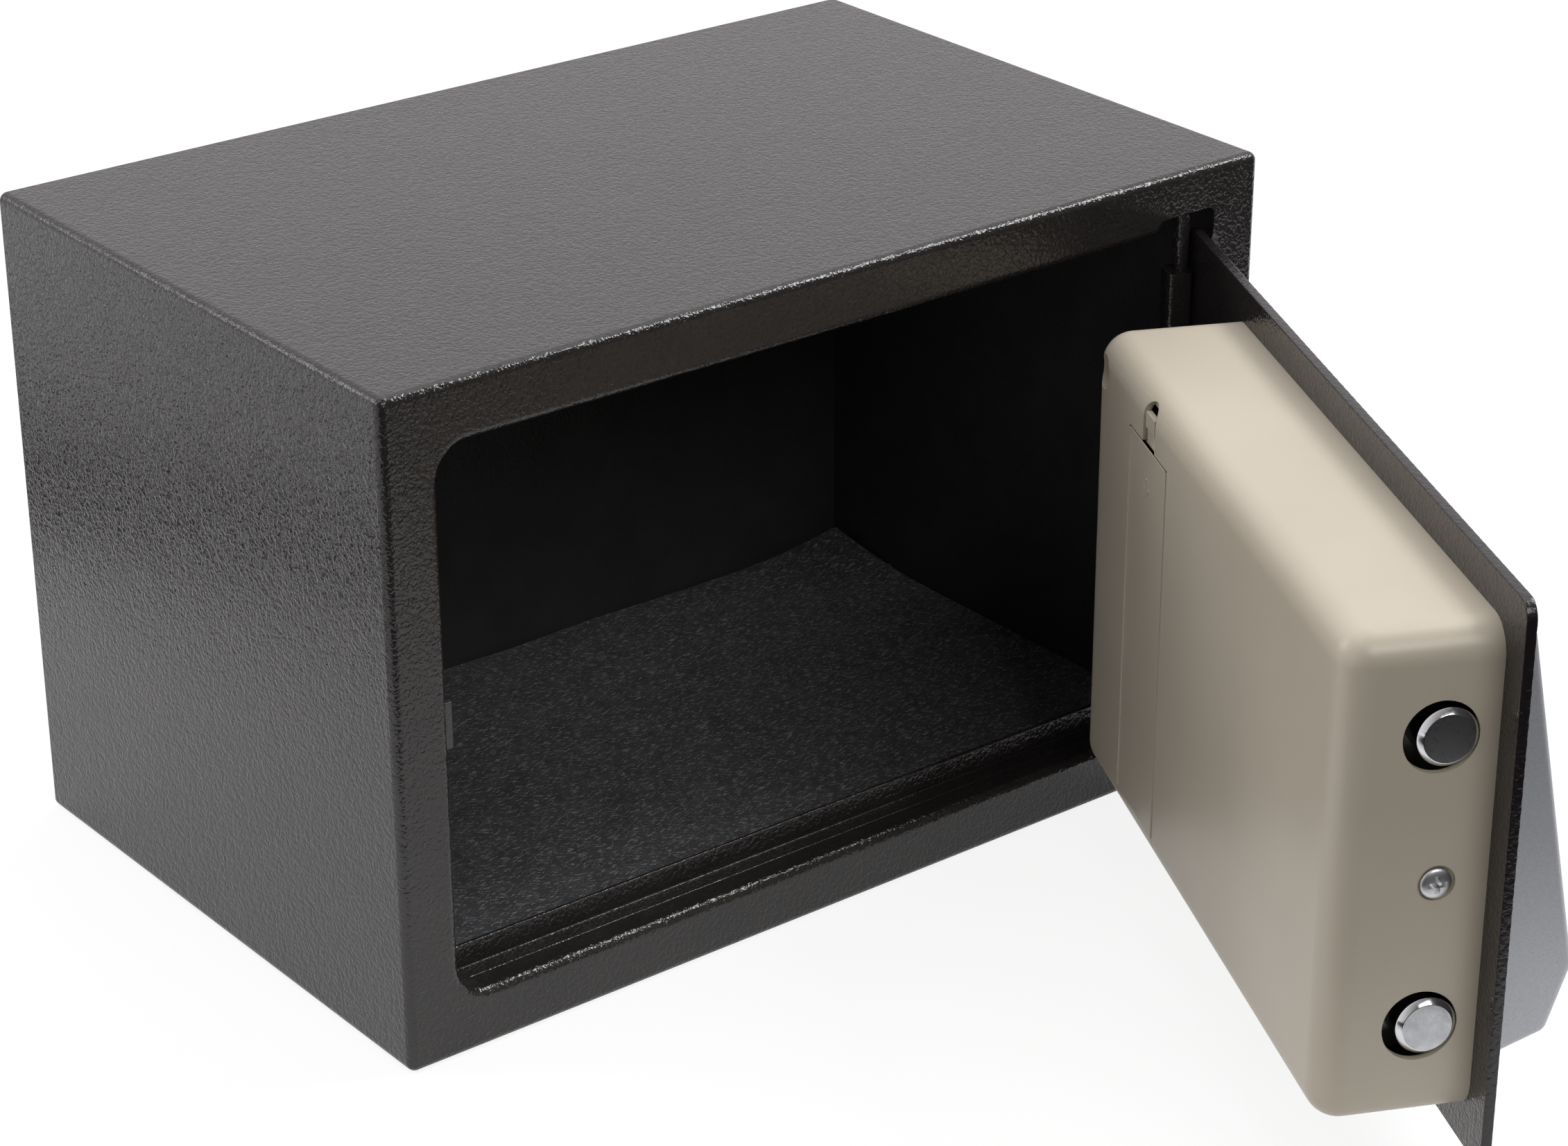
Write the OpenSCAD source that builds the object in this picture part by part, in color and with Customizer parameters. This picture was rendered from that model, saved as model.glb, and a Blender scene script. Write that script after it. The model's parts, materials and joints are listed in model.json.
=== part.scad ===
// In-room safe: sheet steel body with a felt floor mat, and a hinged steel door that carries
// a battery-powered motor lock under a moulded cover and a wedge-shaped keypad on its front.
// Millimetres. X runs to the right as seen from the front, Y to the back, Z up. The origin is
// the centre of the base's anchor holes, on the underside.

/* [Body] */
// Width of the body
body_w = 310; // [280:1:420]
// Depth of the body
body_d = 200; // [170:1:400]
// Height of the body
body_h = 200; // [190:1:300]
// Sheet thickness of the shell and the back panel
wall = 2; // [1.2:0.1:3]
// Outside radius of the bends along the body's long edges
bend_r = 2.6; // [2:0.1:5]

/* [Front frame] */
// Sheet thickness of the front frame
frame_t = 1.5; // [1:0.1:2]
// Width of the frame beside the opening
frame_side = 17.4; // [15:0.1:24]
// Height of the frame above and below the opening
frame_top = 18; // [16:0.1:24]
// Outside radius of the rolled lip round the opening
lip_r = 3; // [2:0.1:4]
// Depth of the lip's flange behind the front face
flange_d = 8.5; // [7:0.1:9]
// Corner radius of the opening
opening_r = 10; // [6:0.5:16]
// Height of the hinge notches above and below the opening
notch_h = 5; // [3:0.5:6]
// Width of the hinge notches
notch_w = 22.6; // [18:0.1:30]
// Distance from the front face to the upright of the sill strip
sill_d = 14; // [12:0.5:20]
// Height of the sill strip's edge above the opening's lower edge
sill_lip = 7.2; // [4:0.1:9]

/* [Mat] */
// Thickness of the felt floor mat
mat_t = 2.5; // [1.5:0.1:4]
// Gap round the mat
mat_gap = 0.4; // [0.2:0.1:2]

/* [Anchors] */
// Radius of the anchor holes in the base and the back
anchor_r = 5; // [3:0.5:7]
// Spacing of the two anchor holes in the base
base_anchor_w = 220; // [120:5:240]
// Spacing of the two anchor holes in the back panel
back_anchor_w = 150; // [100:5:240]

/* [Door] */
// Angle at which the door stands open
door_open = 64; // [0:1:96]
// Thickness of the door plate
door_t = 3; // [2.5:0.1:4]
// Distance of the closed door's face behind the frame's face
door_recess = 0.8; // [0.5:0.1:2]
// Gap between the door plate and the opening at the free edge
door_gap = 1.4; // [1:0.1:2.5]
// Gap between the door plate and the opening above and below
door_gap_z = 2; // [1:0.1:3]
// Gap between the door plate and the opening at the hinge edge
hinge_gap = 3.7; // [3.5:0.1:6]
// Corner radius of the door plate
door_r = 5; // [3:0.5:8]

/* [Hinge] */
// Radius of the hinge pins
pin_r = 2.5; // [2:0.1:3]
// Running clearance of the pins in the brackets, on the radius
pin_fit = 0.06; // [0.02:0.01:0.1]
// Side of the hinge bar towards the free edge, from the pivot
bar_reach = 6; // [5:0.5:9]
// Depth of the hinge bar behind the door plate
bar_d = 8; // [7:0.5:12]
// Distance from the door's top and bottom edges to the hinge bar's ends
bar_inset = 12.5; // [8:0.5:16]
// Thickness of the hinge brackets
bracket_t = 3; // [2:0.5:5]

/* [Lock cover] */
// Distance from the pivot to the cover's end nearer the hinge
cover_start = 44; // [42:0.5:60]
// Distance from the door's free edge to the cover
cover_inset = 10.4; // [8:0.1:20]
// Distance from the door's top and bottom edges to the cover
cover_inset_z = 10.5; // [8:0.5:20]
// Depth of the cover
cover_d = 41.5; // [40:0.5:55]
// Radius of the cover's edges
cover_r = 9; // [6:0.5:12]
// Wall thickness of the cover
cover_t = 2; // [1.6:0.1:3]

/* [Bolts] */
// Radius of the locking bolts
bolt_r = 8; // [6:0.5:9]
// Length of the locking bolts
bolt_len = 53; // [45:1:60]
// Travel of the locking bolts
bolt_throw = 18; // [10:1:18]
// Spacing of the locking bolts
bolt_pitch = 82; // [70:1:90]
// How far the drawn-back bolts stand out of the cover
bolt_proud = 1.5; // [0:0.1:3]
// Distance from the door plate to the bolts' axis
bolt_h = 13.5; // [12:0.5:15]
// Radius of the holes in the cover for the bolts
bolt_hole_r = 10; // [9.5:0.1:11]
// Running clearance of the bolts in their guide, on the radius
bolt_fit = 0.08; // [0.02:0.01:0.1]

/* [Drive] */
// Module of the rack and the pinion
gear_m = 1.25; // [1:0.25:1.5]
// Number of teeth of the pinion
gear_n = 14; // [14:1:16]
// Thickness of the carrier plate, with its rack
carrier_t = 2.5; // [2:0.1:3]

/* [Batteries] */
// Radius of a battery cell
cell_r = 7.1; // [6.5:0.1:7.3]
// Length of a battery cell
cell_len = 50; // [44:0.5:50.5]
// Width of the battery cover
panel_w = 34; // [32:0.5:40]
// Distance from the pivot to the middle of the battery cover
panel_s = 97; // [92:0.5:100]
// Gap round the battery cover
panel_gap = 0.3; // [0.2:0.05:0.5]

/* [Keypad] */
// Width of the keypad housing
pad_w = 110; // [96:1:120]
// Distance from the door's free edge to the keypad housing
pad_end = 20.9; // [16:0.1:67]
// Depth of the housing at its top
pad_top_d = 9; // [7:0.5:14]
// Depth of the housing at its deepest line
pad_max_d = 27.3; // [22:0.1:32]
// Wall thickness of the housing
pad_t = 2.2; // [1.6:0.1:3]
// Width of a key
key_w = 14; // [10:0.5:16]
// Height of a key
key_h = 8.5; // [7:0.5:9]
// Gap round a key
key_gap = 0.3; // [0.2:0.05:0.5]

/* [Hidden] */
$fn = 48;

// Sizes of the body and its opening
front_y = -body_d / 2;
back_y = body_d / 2;
inner_w = body_w - 2 * wall;
open_w = body_w - 2 * frame_side;
open_z0 = frame_top;
open_z1 = body_h - frame_top;
mid_z = body_h / 2;
sill_y = front_y + sill_d;
sill_start = -open_w / 2 + lip_r;
sill_end = open_w / 2 - notch_w - 0.5;
tab_w = 14;
tab_reach = 3.5;
tab_gap = 0.3;
notch_r = 3;

// The hinge: the pins stand just behind the door plate
door_inner_h = pin_r;
door_outer_h = door_inner_h + door_t;
pivot_y = front_y + door_recess + door_outer_h;
pivot_back = 3.2;
bush_t = 1.8;
pivot_x = open_w / 2 - hinge_gap - pivot_back;
door_free = pivot_x + open_w / 2 - door_gap;
door_z0 = open_z0 + door_gap_z;
door_z1 = open_z1 - door_gap_z;
bar_z0 = door_z0 + bar_inset;
bar_z1 = door_z1 - bar_inset;
pin_seat = 8;
bracket_z1 = open_z1 + notch_h;
bracket_z0 = open_z0 - notch_h;
bracket_x0 = open_w / 2 - notch_w;
bracket_w = body_w / 2 - wall - bracket_x0;
bracket_d = 16;

// The door's own frame: closed, with the pivot at the origin, X to the right and Y to the back
plate_y = -door_inner_h;
face_y = -door_outer_h;
cover_x1 = -cover_start;
cover_x0 = -(door_free - cover_inset);
cover_z0 = door_z0 + cover_inset_z;
cover_z1 = door_z1 - cover_inset_z;
cover_y = plate_y + cover_d;

// Screws at the cover's two ends, with the sunk seats of their heads
pan_core_r = 1.9;
pan_head_r = 4.3;
pan_head_h = 2;
pan_cross = 5;
pan_cross_w = 1.1;
pan_cross_d = 0.6;
seat_r = 5;
seat_d = 0.8;
bracket_sheet = 2;
bracket_gap = 0.3;
bracket_foot = 9;
bracket_half_w = 10;

// Bolts, their guide and the carrier
bolt_y = plate_y + bolt_h;
bolt_hole_y = bolt_y + 1.6;
bolt_x0 = cover_x0 - bolt_proud;
bolt_x1 = bolt_x0 + bolt_len;
bolt_z = [mid_z - bolt_pitch / 2, mid_z + bolt_pitch / 2];
bolt_edge = 1.2;
stud_r = 4;
nut_r = 6.5;
nut_t = 5;
guide_x = cover_x0 + 10.5;
guide_t = 2.5;
guide_z = bolt_pitch / 2 + bolt_r + 4;
guide_foot = 20;
guide_foot_z = 48;
guide_sheet = 2;
carrier_y = bolt_y + bolt_r + 2;
flange_z = bolt_pitch / 2 + 11;
tongue_x1 = bolt_x1 + 81;
tongue_z = 16;
slide_pin_r = 3;
slide_fit = 0.1;
slide_collar_r = 4.5;
slide_head_r = 5;
slide_pin_x = [bolt_x1 + 13, bolt_x1 + 55];

// Rack and pinion
pitch_r = gear_m * gear_n / 2;
rack_add = 0.8 * gear_m;
rack_ded = 1.15 * gear_m;
tooth_play = 0.12;
rack_z = mid_z - tongue_z - rack_ded;
pinion_x = bolt_x1 + 44;
pinion_z = rack_z - pitch_r;
shaft_r = 3;
gearbox_w = 30;
gearbox_h = 35;
gearbox_drop = 18;
shaft_seat = 5;
gearbox_y0 = plate_y + 2.5;
gearbox_y1 = carrier_y - 3;
motor_r = 9.7;
motor_y = gearbox_y0 + motor_r + 0.3;
motor_z = pinion_z - 4;
motor_boss_r = 3;

// Batteries and their tray
panel_x0 = -(panel_s + panel_w / 2);
panel_x1 = -(panel_s - panel_w / 2);
panel_z1 = cover_z1 - 16.5;
panel_y = cover_y - cover_t;
cell_gap = 0.8;
cell_x = [-panel_s - cell_r - cell_gap / 2, -panel_s + cell_r + cell_gap / 2];
cell_y = panel_y - 1.4 - cell_r;
spring_len = 2.2;
cell_z0 = cover_z0 + 14.5;
cell_z = [cell_z0, cell_z0 + cell_len + spring_len];
cell_nub = 1;
cell_nub_r = 2.7;
contact_r = 4.5;
contact_half_w = 5;
tray_t = 1.5;
tray_fit = 0.2;
tray_x0 = cell_x[0] - cell_r - tray_fit;
tray_x1 = cell_x[1] + cell_r + tray_fit;
tray_y0 = cell_y - cell_r - tray_t - 0.3;
tray_z0 = cell_z0 - spring_len - tray_t;
tray_z1 = cell_z[1] + cell_len + spring_len + tray_t;

// The motor fills the space up to the tray, but is no longer than it needs to be
motor_len = min(28, tray_x0 - tray_t - 3 - pinion_x - gearbox_w / 2);
slot_r = 5.5;
slot_z = panel_z1 + 8;
finger_w = 8;

// Circuit board and reset button
board_x0 = panel_x1 + 3;
board_x1 = cover_x1 - 7.5;
board_y = plate_y + 14.5;
board_t = 1.6;
post_r = 3;
post_inset = 4;
switch_w = 8;
switch_h = 5;
board_z0 = cover_z0 + 14.5;
board_z1 = cover_z1 - 4.5;
reset_x = cover_x1 - 9;
reset_z = cover_z1 - 11;
well_r = 5.2;
well_d = 8;
button_r = 2;
button_gap = 0.25;
button_travel = 1;

// Keypad housing: its side is a wedge that gets deeper towards the bottom
pad_z1 = mid_z + 66;
pad_zA = mid_z - 35.3;
pad_zB = mid_z - 54.4;
pad_zC = mid_z - 63;
pad_B_d = pad_max_d - 5.8;
pad_x0 = -(door_free - pad_end);
pad_x1 = pad_x0 + pad_w;
pad_mid = (pad_x0 + pad_x1) / 2;
pad_side = [[face_y, pad_z1], [face_y - pad_top_d, pad_z1], [face_y - pad_max_d, pad_zA],
            [face_y - pad_B_d, pad_zB], [face_y, pad_zC]];
slope = atan((pad_max_d - pad_top_d) / (pad_z1 - pad_zA));
slope_len = (pad_z1 - pad_zA) / cos(slope);
window_w = 62;
window_h = 16;
window_t = 15;
window_seat = 1.2;
window_proud = 0.3;
key_pitch_x = 21;
key_pitch_t = 11.5;
key_first_t = 31;
key_proud = 1.2;
key_depth = 3;
key_corner_r = 1.5;
key_drop = 1;
key_mat_t = 1;
key_board_w = 72;
cap_t = slope_len - 15.5;
cap_r = 10;
cap_neck_r = 8.6;
barrel_r = 8;
plug_r = 6;
barrel_z = pad_z1 - cap_t * cos(slope) - 2 * sin(slope);
barrel_y0 = face_y - pad_top_d - cap_t * sin(slope) + 8.5;
barrel_y1 = plate_y + 14.5;
cam_len = 13;
cam_hub_r = 5;
cam_half_w = 3.5;
cam_t = 2;
barrel_nut_r = barrel_r + 3;
barrel_nut_t = 3;
keyway_half_w = 0.7;
keyway_half_h = 4;
keyway_d = 7;
cap_plate_t = 1.6;
cap_neck = 3;
cap_wall = 1.4;
boss = [[pad_x0 + 10, pad_zC + 9], [pad_x1 - 10, pad_zC + 9],
        [pad_x0 + 10, pad_z1 - 8], [pad_x1 - 10, pad_z1 - 8]];
boss_d = 5.5;
boss_r = 3.4;
screw_r = 1.5;
screw_head_r = 3.2;
wire_hole_r = 5;
wire_z = mid_z + 40;

// ---------------------------------------------------------------- helpers

// Rectangle with round corners, from low corner to high corner
module round_rect(x0, y0, x1, y1, r) {
    translate([x0 + r, y0]) square([x1 - x0 - 2 * r, y1 - y0]);
    translate([x0, y0 + r]) square([x1 - x0, y1 - y0 - 2 * r]);
    for (x = [x0 + r, x1 - r], y = [y0 + r, y1 - r]) translate([x, y]) circle(r = r);
}

// Stands an outline drawn in X and Z upright, from y0 to y1
module upright(y0, y1) {
    translate([0, y1, 0]) rotate([90, 0, 0]) linear_extrude(height = y1 - y0) children();
}

// Box from low corner to high corner
module block(lo, hi) {
    translate(lo) cube(hi - lo);
}

// Cylinder along X, Y or Z from a point
module rod_x(p, r, len) { translate(p) rotate([0, 90, 0]) cylinder(r = r, h = len); }
module rod_y(p, r, len) { translate(p) rotate([-90, 0, 0]) cylinder(r = r, h = len); }
module rod_z(p, r, len) { translate(p) cylinder(r = r, h = len); }

// Puts what is modelled in the door's own frame where the door stands
module on_door() {
    translate([pivot_x, pivot_y, 0]) rotate([0, 0, door_open]) children();
}

// Puts what is modelled flat on the sloped keypad face: X across, Y down the slope from its
// top edge, and Z out of the face
module on_slope(x, t) {
    translate([pad_mid, face_y - pad_top_d, pad_z1]) rotate([-slope, 0, 0])
        translate([x, 0, -t]) rotate([90, 0, 0]) children();
}

// ---------------------------------------------------------------- body

module body_shell() {
    color([0.13, 0.13, 0.13]) difference() {
        upright(front_y + frame_t, back_y)
            round_rect(-body_w / 2, 0, body_w / 2, body_h, bend_r);
        block([-inner_w / 2, front_y - 1, wall], [inner_w / 2, back_y + 1, body_h - wall]);
        for (x = [-1, 1]) rod_z([x * base_anchor_w / 2, 0, -1], anchor_r, wall + 2);
    }
}

module back_panel() {
    color([0.12, 0.12, 0.12]) difference() {
        block([-inner_w / 2, back_y - wall, wall], [inner_w / 2, back_y, body_h - wall]);
        for (x = [-1, 1])
            rod_y([x * back_anchor_w / 2, back_y - wall - 1, mid_z], anchor_r, wall + 2);
    }
}

// Half section of the rolled lip: u is measured outwards from the opening, v from the face back
module lip_section() {
    difference() {
        union() {
            intersection() {
                translate([lip_r, lip_r]) circle(r = lip_r);
                square([lip_r, lip_r]);
            }
            translate([0, lip_r - 0.01]) square([frame_t, flange_d - lip_r + 0.01]);
        }
        translate([lip_r, lip_r]) circle(r = lip_r - frame_t);
    }
}

// A straight run of the lip along X, with the opening towards -Z
module lip_run(len) {
    translate([0, front_y, 0]) rotate([90, 0, 90]) linear_extrude(height = len, center = true)
        mirror([1, 0]) rotate([0, 0, 90]) lip_section();
}

// A quarter of the lip round a corner of the opening
module lip_corner() {
    rotate([-90, 0, 0]) translate([0, 0, front_y]) rotate_extrude(angle = 90)
        translate([opening_r, 0]) lip_section();
}

module lip_ring() {
    run_x = open_w - 2 * opening_r;
    run_z = open_z1 - open_z0 - 2 * opening_r;
    for (side = [0, 180]) translate([0, 0, mid_z]) rotate([0, side, 0])
        translate([0, 0, (open_z1 - open_z0) / 2]) lip_run(run_x);
    for (side = [90, 270]) translate([0, 0, mid_z]) rotate([0, side, 0])
        translate([0, 0, open_w / 2]) lip_run(run_z);
    for (turn = [0:3]) {
        x = (turn == 0 || turn == 3 ? 1 : -1) * (open_w / 2 - opening_r);
        z = mid_z + (turn < 2 ? -1 : 1) * ((open_z1 - open_z0) / 2 - opening_r);
        translate([x, 0, z]) rotate([0, turn * 90, 0]) lip_corner();
    }
}

module front_frame() {
    color([0.13, 0.13, 0.13]) difference() {
        union() {
            difference() {
                upright(front_y, front_y + frame_t)
                    round_rect(-body_w / 2, 0, body_w / 2, body_h, bend_r);
                upright(front_y - 1, front_y + frame_t + 1)
                    round_rect(-open_w / 2 - lip_r, open_z0 - lip_r, open_w / 2 + lip_r,
                               open_z1 + lip_r, opening_r + lip_r);
            }
            lip_ring();
        }
        for (low = [open_z0 - notch_h, open_z1 - opening_r - notch_r])
            upright(front_y - 1, front_y + flange_d + 1)
                round_rect(open_w / 2 - notch_w, low, open_w / 2,
                           low + notch_h + opening_r + notch_r, notch_r);
    }
}

module sill_strip() {
    strip_z0 = open_z0 - frame_t;
    color([0.14, 0.14, 0.14]) translate([sill_start, 0, 0]) rotate([90, 0, 90])
        linear_extrude(height = sill_end - sill_start) polygon([
            [front_y + flange_d, strip_z0], [sill_y, strip_z0], [sill_y, wall],
            [sill_y + frame_t, wall], [sill_y + frame_t, open_z0 + sill_lip],
            [sill_y, open_z0 + sill_lip], [sill_y, open_z0], [front_y + flange_d, open_z0]]);
}

// The door shuts against this tab, behind the jamb on the free side
module door_stop_tab() {
    y0 = pivot_y - door_inner_h + tab_gap;
    color([0.14, 0.14, 0.14]) {
        block([-open_w / 2, y0, mid_z - tab_w / 2],
              [-open_w / 2 + tab_reach, y0 + frame_t, mid_z + tab_w / 2]);
        block([-open_w / 2, y0 + frame_t - 0.01, mid_z - tab_w / 2],
              [-open_w / 2 + 1, front_y + flange_d, mid_z + tab_w / 2]);
    }
}

module hinge_bracket(z0) {
    color([0.16, 0.16, 0.16]) difference() {
        block([bracket_x0, front_y + frame_t, z0],
              [bracket_x0 + bracket_w, front_y + bracket_d, z0 + bracket_t]);
        rod_z([pivot_x, pivot_y, z0 - 1], pin_r + pin_fit, bracket_t + 2);
    }
}

module upper_hinge_bracket() { hinge_bracket(bracket_z1); }

module lower_hinge_bracket() { hinge_bracket(bracket_z0 - bracket_t); }

module floor_mat() {
    color([0.17, 0.17, 0.18])
        block([-inner_w / 2 + mat_gap, sill_y + frame_t + mat_gap, wall],
              [inner_w / 2 - mat_gap, back_y - wall - mat_gap, wall + mat_t]);
}

// ---------------------------------------------------------------- door and hinge

module door_plate() {
    color([0.15, 0.15, 0.15]) on_door() difference() {
        upright(face_y, plate_y) round_rect(-door_free, door_z0, pivot_back, door_z1, door_r);
        for (b = boss) rod_y([b[0], face_y - 1, b[1]], screw_r + 0.5, door_t + 2);
        rod_y([pad_mid, face_y - 1, barrel_z], barrel_r, door_t + 2);
        rod_y([pad_mid, face_y - 1, wire_z], wire_hole_r, door_t + 2);
    }
}

module hinge_bar() {
    color([0.15, 0.15, 0.15]) on_door() difference() {
        translate([0, 0, bar_z0]) linear_extrude(height = bar_z1 - bar_z0)
            round_rect(-bar_reach, plate_y, pivot_back, plate_y + bar_d, 2);
        rod_z([0, 0, bar_z0 - 1], pin_r, pin_seat + 1);
        rod_z([0, 0, bar_z1 - pin_seat], pin_r, pin_seat + 1);
    }
}

module hinge_pins() {
    low = bracket_z0 - bracket_t - 0.5;
    top = bracket_z1 + bracket_t + 0.5;
    color([0.55, 0.55, 0.57]) on_door() {
        rod_z([0, 0, low], pin_r, bar_z0 + pin_seat - low);
        rod_z([0, 0, bar_z1 - pin_seat], pin_r, top - bar_z1 + pin_seat);
    }
}

// Bush on the lower pin, which carries the door plate's weight on the lower bracket
module hinge_spacer() {
    z0 = bracket_z0 + 0.05;
    color([0.6, 0.6, 0.62]) on_door() difference() {
        rod_z([0, 0, z0], pin_r + bush_t, door_z0 - z0);
        rod_z([0, 0, z0 - 1], pin_r, door_z0 - z0 + 2);
    }
}

// ---------------------------------------------------------------- lock cover and battery cover

// Moulded form with every edge round but those at the door plate
module cover_form(inset) {
    r = cover_r - inset;
    xs = [cover_x0 + cover_r, cover_x1 - cover_r];
    zs = [cover_z0 + cover_r, cover_z1 - cover_r];
    y0 = plate_y - inset;
    y1 = cover_y - cover_r;
    upright(y0, y1) round_rect(xs[0] - r, zs[0] - r, xs[1] + r, zs[1] + r, r);
    block([xs[0], y0, zs[0]], [xs[1], y1 + r, zs[1]]);
    for (z = zs) rod_x([xs[0], y1, z], r, xs[1] - xs[0]);
    for (x = xs) rod_z([x, y1, zs[0]], r, zs[1] - zs[0]);
    for (x = xs, z = zs) translate([x, y1, z]) sphere(r = r);
}

// The part of the skin that is the battery cover, grown by a gap
module panel_space(gap) {
    block([panel_x0 - gap, cover_y - 17 - gap, cover_z0 - 1],
          [panel_x1 + gap, cover_y + 1, panel_z1 + gap]);
}

module lock_cover() {
    color([0.78, 0.75, 0.68]) on_door() difference() {
        cover_form(0);
        difference() {
            cover_form(cover_t);
            rod_y([reset_x, cover_y - well_d - cover_t, reset_z], well_r + 1.5, well_d + 9);
        }
        panel_space(panel_gap);
        for (z = bolt_z) rod_x([cover_x0 - 1, bolt_hole_y, z], bolt_hole_r, cover_t + 3);
        for (x = [cover_x0 + cover_t / 2, cover_x1 - cover_t / 2])
            rod_x([x - cover_t, bolt_y, mid_z], pan_core_r + 0.1, 2 * cover_t);
        rod_x([cover_x0 - 1, bolt_y, mid_z], seat_r, seat_d + 1);
        rod_x([cover_x1 - seat_d, bolt_y, mid_z], seat_r, seat_d + 1);
        rod_y([reset_x, cover_y - well_d, reset_z], well_r, well_d + 1);
        rod_y([reset_x, cover_y - well_d - cover_t - 1, reset_z], button_r + button_gap, 5);
        rod_y([-panel_s, panel_y - 1, slot_z], slot_r, cover_t + 2);
        block([-panel_s - slot_r, panel_y - 1, panel_z1 - 1],
              [-panel_s + slot_r, cover_y + 1, slot_z]);
    }
}

module battery_cover() {
    color([0.79, 0.76, 0.69]) on_door() {
        difference() {
            intersection() {
                cover_form(0);
                panel_space(0);
            }
            cover_form(cover_t);
        }
        block([-panel_s - finger_w / 2, panel_y, panel_z1 - 0.01],
              [-panel_s + finger_w / 2, panel_y + 1, slot_z + 1.5]);
        block([-panel_s - finger_w / 2, panel_y, slot_z - 3],
              [-panel_s + finger_w / 2, cover_y - 0.3, slot_z + 1.5]);
    }
}

// Pan head screw with a cross recess: its head's underside is at x, and its core runs from
// there in direction dir
module pan_screw(x, dir, len) {
    translate([x, bolt_y, mid_z]) rotate([0, 90 * dir, 0]) {
        cylinder(r = pan_core_r, h = len);
        difference() {
            translate([0, 0, -pan_head_h])
                cylinder(r1 = pan_head_r - 1, r2 = pan_head_r, h = pan_head_h);
            for (size = [[pan_cross, pan_cross_w], [pan_cross_w, pan_cross]])
                translate([0, 0, -pan_head_h]) cube([size[0], size[1], 2 * pan_cross_d], center = true);
        }
    }
}

module cover_screws() {
    color([0.7, 0.7, 0.72]) on_door() {
        pan_screw(cover_x0 + seat_d, 1, guide_x + guide_t - cover_x0 - seat_d + 0.2);
        pan_screw(cover_x1 - seat_d, -1, cover_t + bracket_gap + bracket_sheet - seat_d + 2.7);
    }
}

// Angle on the door plate that the screw at the hinge end goes into
module cover_bracket() {
    x1 = cover_x1 - cover_t - bracket_gap;
    color([0.6, 0.6, 0.58]) on_door() difference() {
        union() {
            block([x1 - bracket_foot, plate_y, mid_z - bracket_half_w],
                  [x1, plate_y + bracket_sheet, mid_z + bracket_half_w]);
            block([x1 - bracket_sheet, plate_y, mid_z - bracket_half_w],
                  [x1, bolt_y + bracket_foot, mid_z + bracket_half_w]);
        }
        rod_x([x1 - 2 * bracket_sheet, bolt_y, mid_z], pan_core_r, 3 * bracket_sheet);
    }
}

// ---------------------------------------------------------------- bolt work

module bolt_guide() {
    color([0.62, 0.62, 0.6]) on_door() difference() {
        union() {
            block([guide_x, plate_y, mid_z - guide_z],
                  [guide_x + guide_t, bolt_y + bolt_r + 3, mid_z + guide_z]);
            block([guide_x, plate_y, mid_z - guide_foot_z],
                  [guide_x + guide_foot, plate_y + guide_sheet, mid_z + guide_foot_z]);
        }
        for (z = bolt_z) rod_x([guide_x - 1, bolt_y, z], bolt_r + bolt_fit, guide_t + 2);
        rod_x([guide_x - 1, bolt_y, mid_z], pan_core_r, guide_t + 2);
    }
}

// A bolt with its threaded end, which goes through the carrier's flange
module locking_bolt(z) {
    color([0.8, 0.8, 0.82]) on_door() translate([bolt_x0, bolt_y, z]) rotate([0, 90, 0]) {
        cylinder(r1 = bolt_r - bolt_edge, r2 = bolt_r, h = bolt_edge);
        translate([0, 0, bolt_edge]) cylinder(r = bolt_r, h = bolt_len - bolt_edge);
        cylinder(r = stud_r, h = bolt_len + carrier_t + nut_t + 1);
    }
}

module bolt_upper() { locking_bolt(bolt_z[1]); }

module bolt_lower() { locking_bolt(bolt_z[0]); }

module bolt_nuts() {
    color([0.7, 0.7, 0.72]) on_door() for (z = bolt_z) difference() {
        rod_x([bolt_x1 + carrier_t, bolt_y, z], nut_r, nut_t, $fn = 6);
        rod_x([bolt_x1 + carrier_t - 1, bolt_y, z], stud_r, nut_t + 2);
    }
}

// Rack teeth point down. A space between two teeth stands over the pinion at rest.
module rack_outline() {
    pitch = PI * gear_m;
    half_tip = pitch / 4 - rack_add * tan(20) - tooth_play / 2;
    half_root = pitch / 4 + rack_ded * tan(20) - tooth_play / 2;
    for (k = [-3:6]) translate([pinion_x + (k + 0.5) * pitch, rack_z]) polygon([
        [-half_root, rack_ded + 0.01], [half_root, rack_ded + 0.01],
        [half_tip, -rack_add], [-half_tip, -rack_add]]);
}

module bolt_carrier() {
    color([0.72, 0.68, 0.52]) on_door() difference() {
        union() {
            block([bolt_x1, bolt_y - bolt_r, mid_z - flange_z],
                  [bolt_x1 + carrier_t, carrier_y + carrier_t, mid_z + flange_z]);
            block([bolt_x1, carrier_y, mid_z - tongue_z],
                  [tongue_x1, carrier_y + carrier_t, mid_z + tongue_z]);
            upright(carrier_y, carrier_y + carrier_t) rack_outline();
        }
        for (z = bolt_z) rod_x([bolt_x1 - 1, bolt_y, z], stud_r, carrier_t + 2);
        for (x = slide_pin_x) {
            for (end = [x, x + bolt_throw])
                rod_y([end, carrier_y - 1, mid_z], slide_pin_r + slide_fit, carrier_t + 2);
            block([x, carrier_y - 1, mid_z - slide_pin_r - slide_fit],
                  [x + bolt_throw, carrier_y + carrier_t + 1, mid_z + slide_pin_r + slide_fit]);
        }
    }
}

// Shoulder pins that the carrier's slots slide along
module carrier_pins() {
    color([0.7, 0.7, 0.72]) on_door() for (x = slide_pin_x) {
        rod_y([x, plate_y, mid_z], slide_collar_r, carrier_y - 0.2 - plate_y);
        rod_y([x, plate_y, mid_z], slide_pin_r, carrier_y + carrier_t + 0.2 - plate_y);
        rod_y([x, carrier_y + carrier_t + 0.2, mid_z], slide_head_r, 1.5);
    }
}

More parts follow.
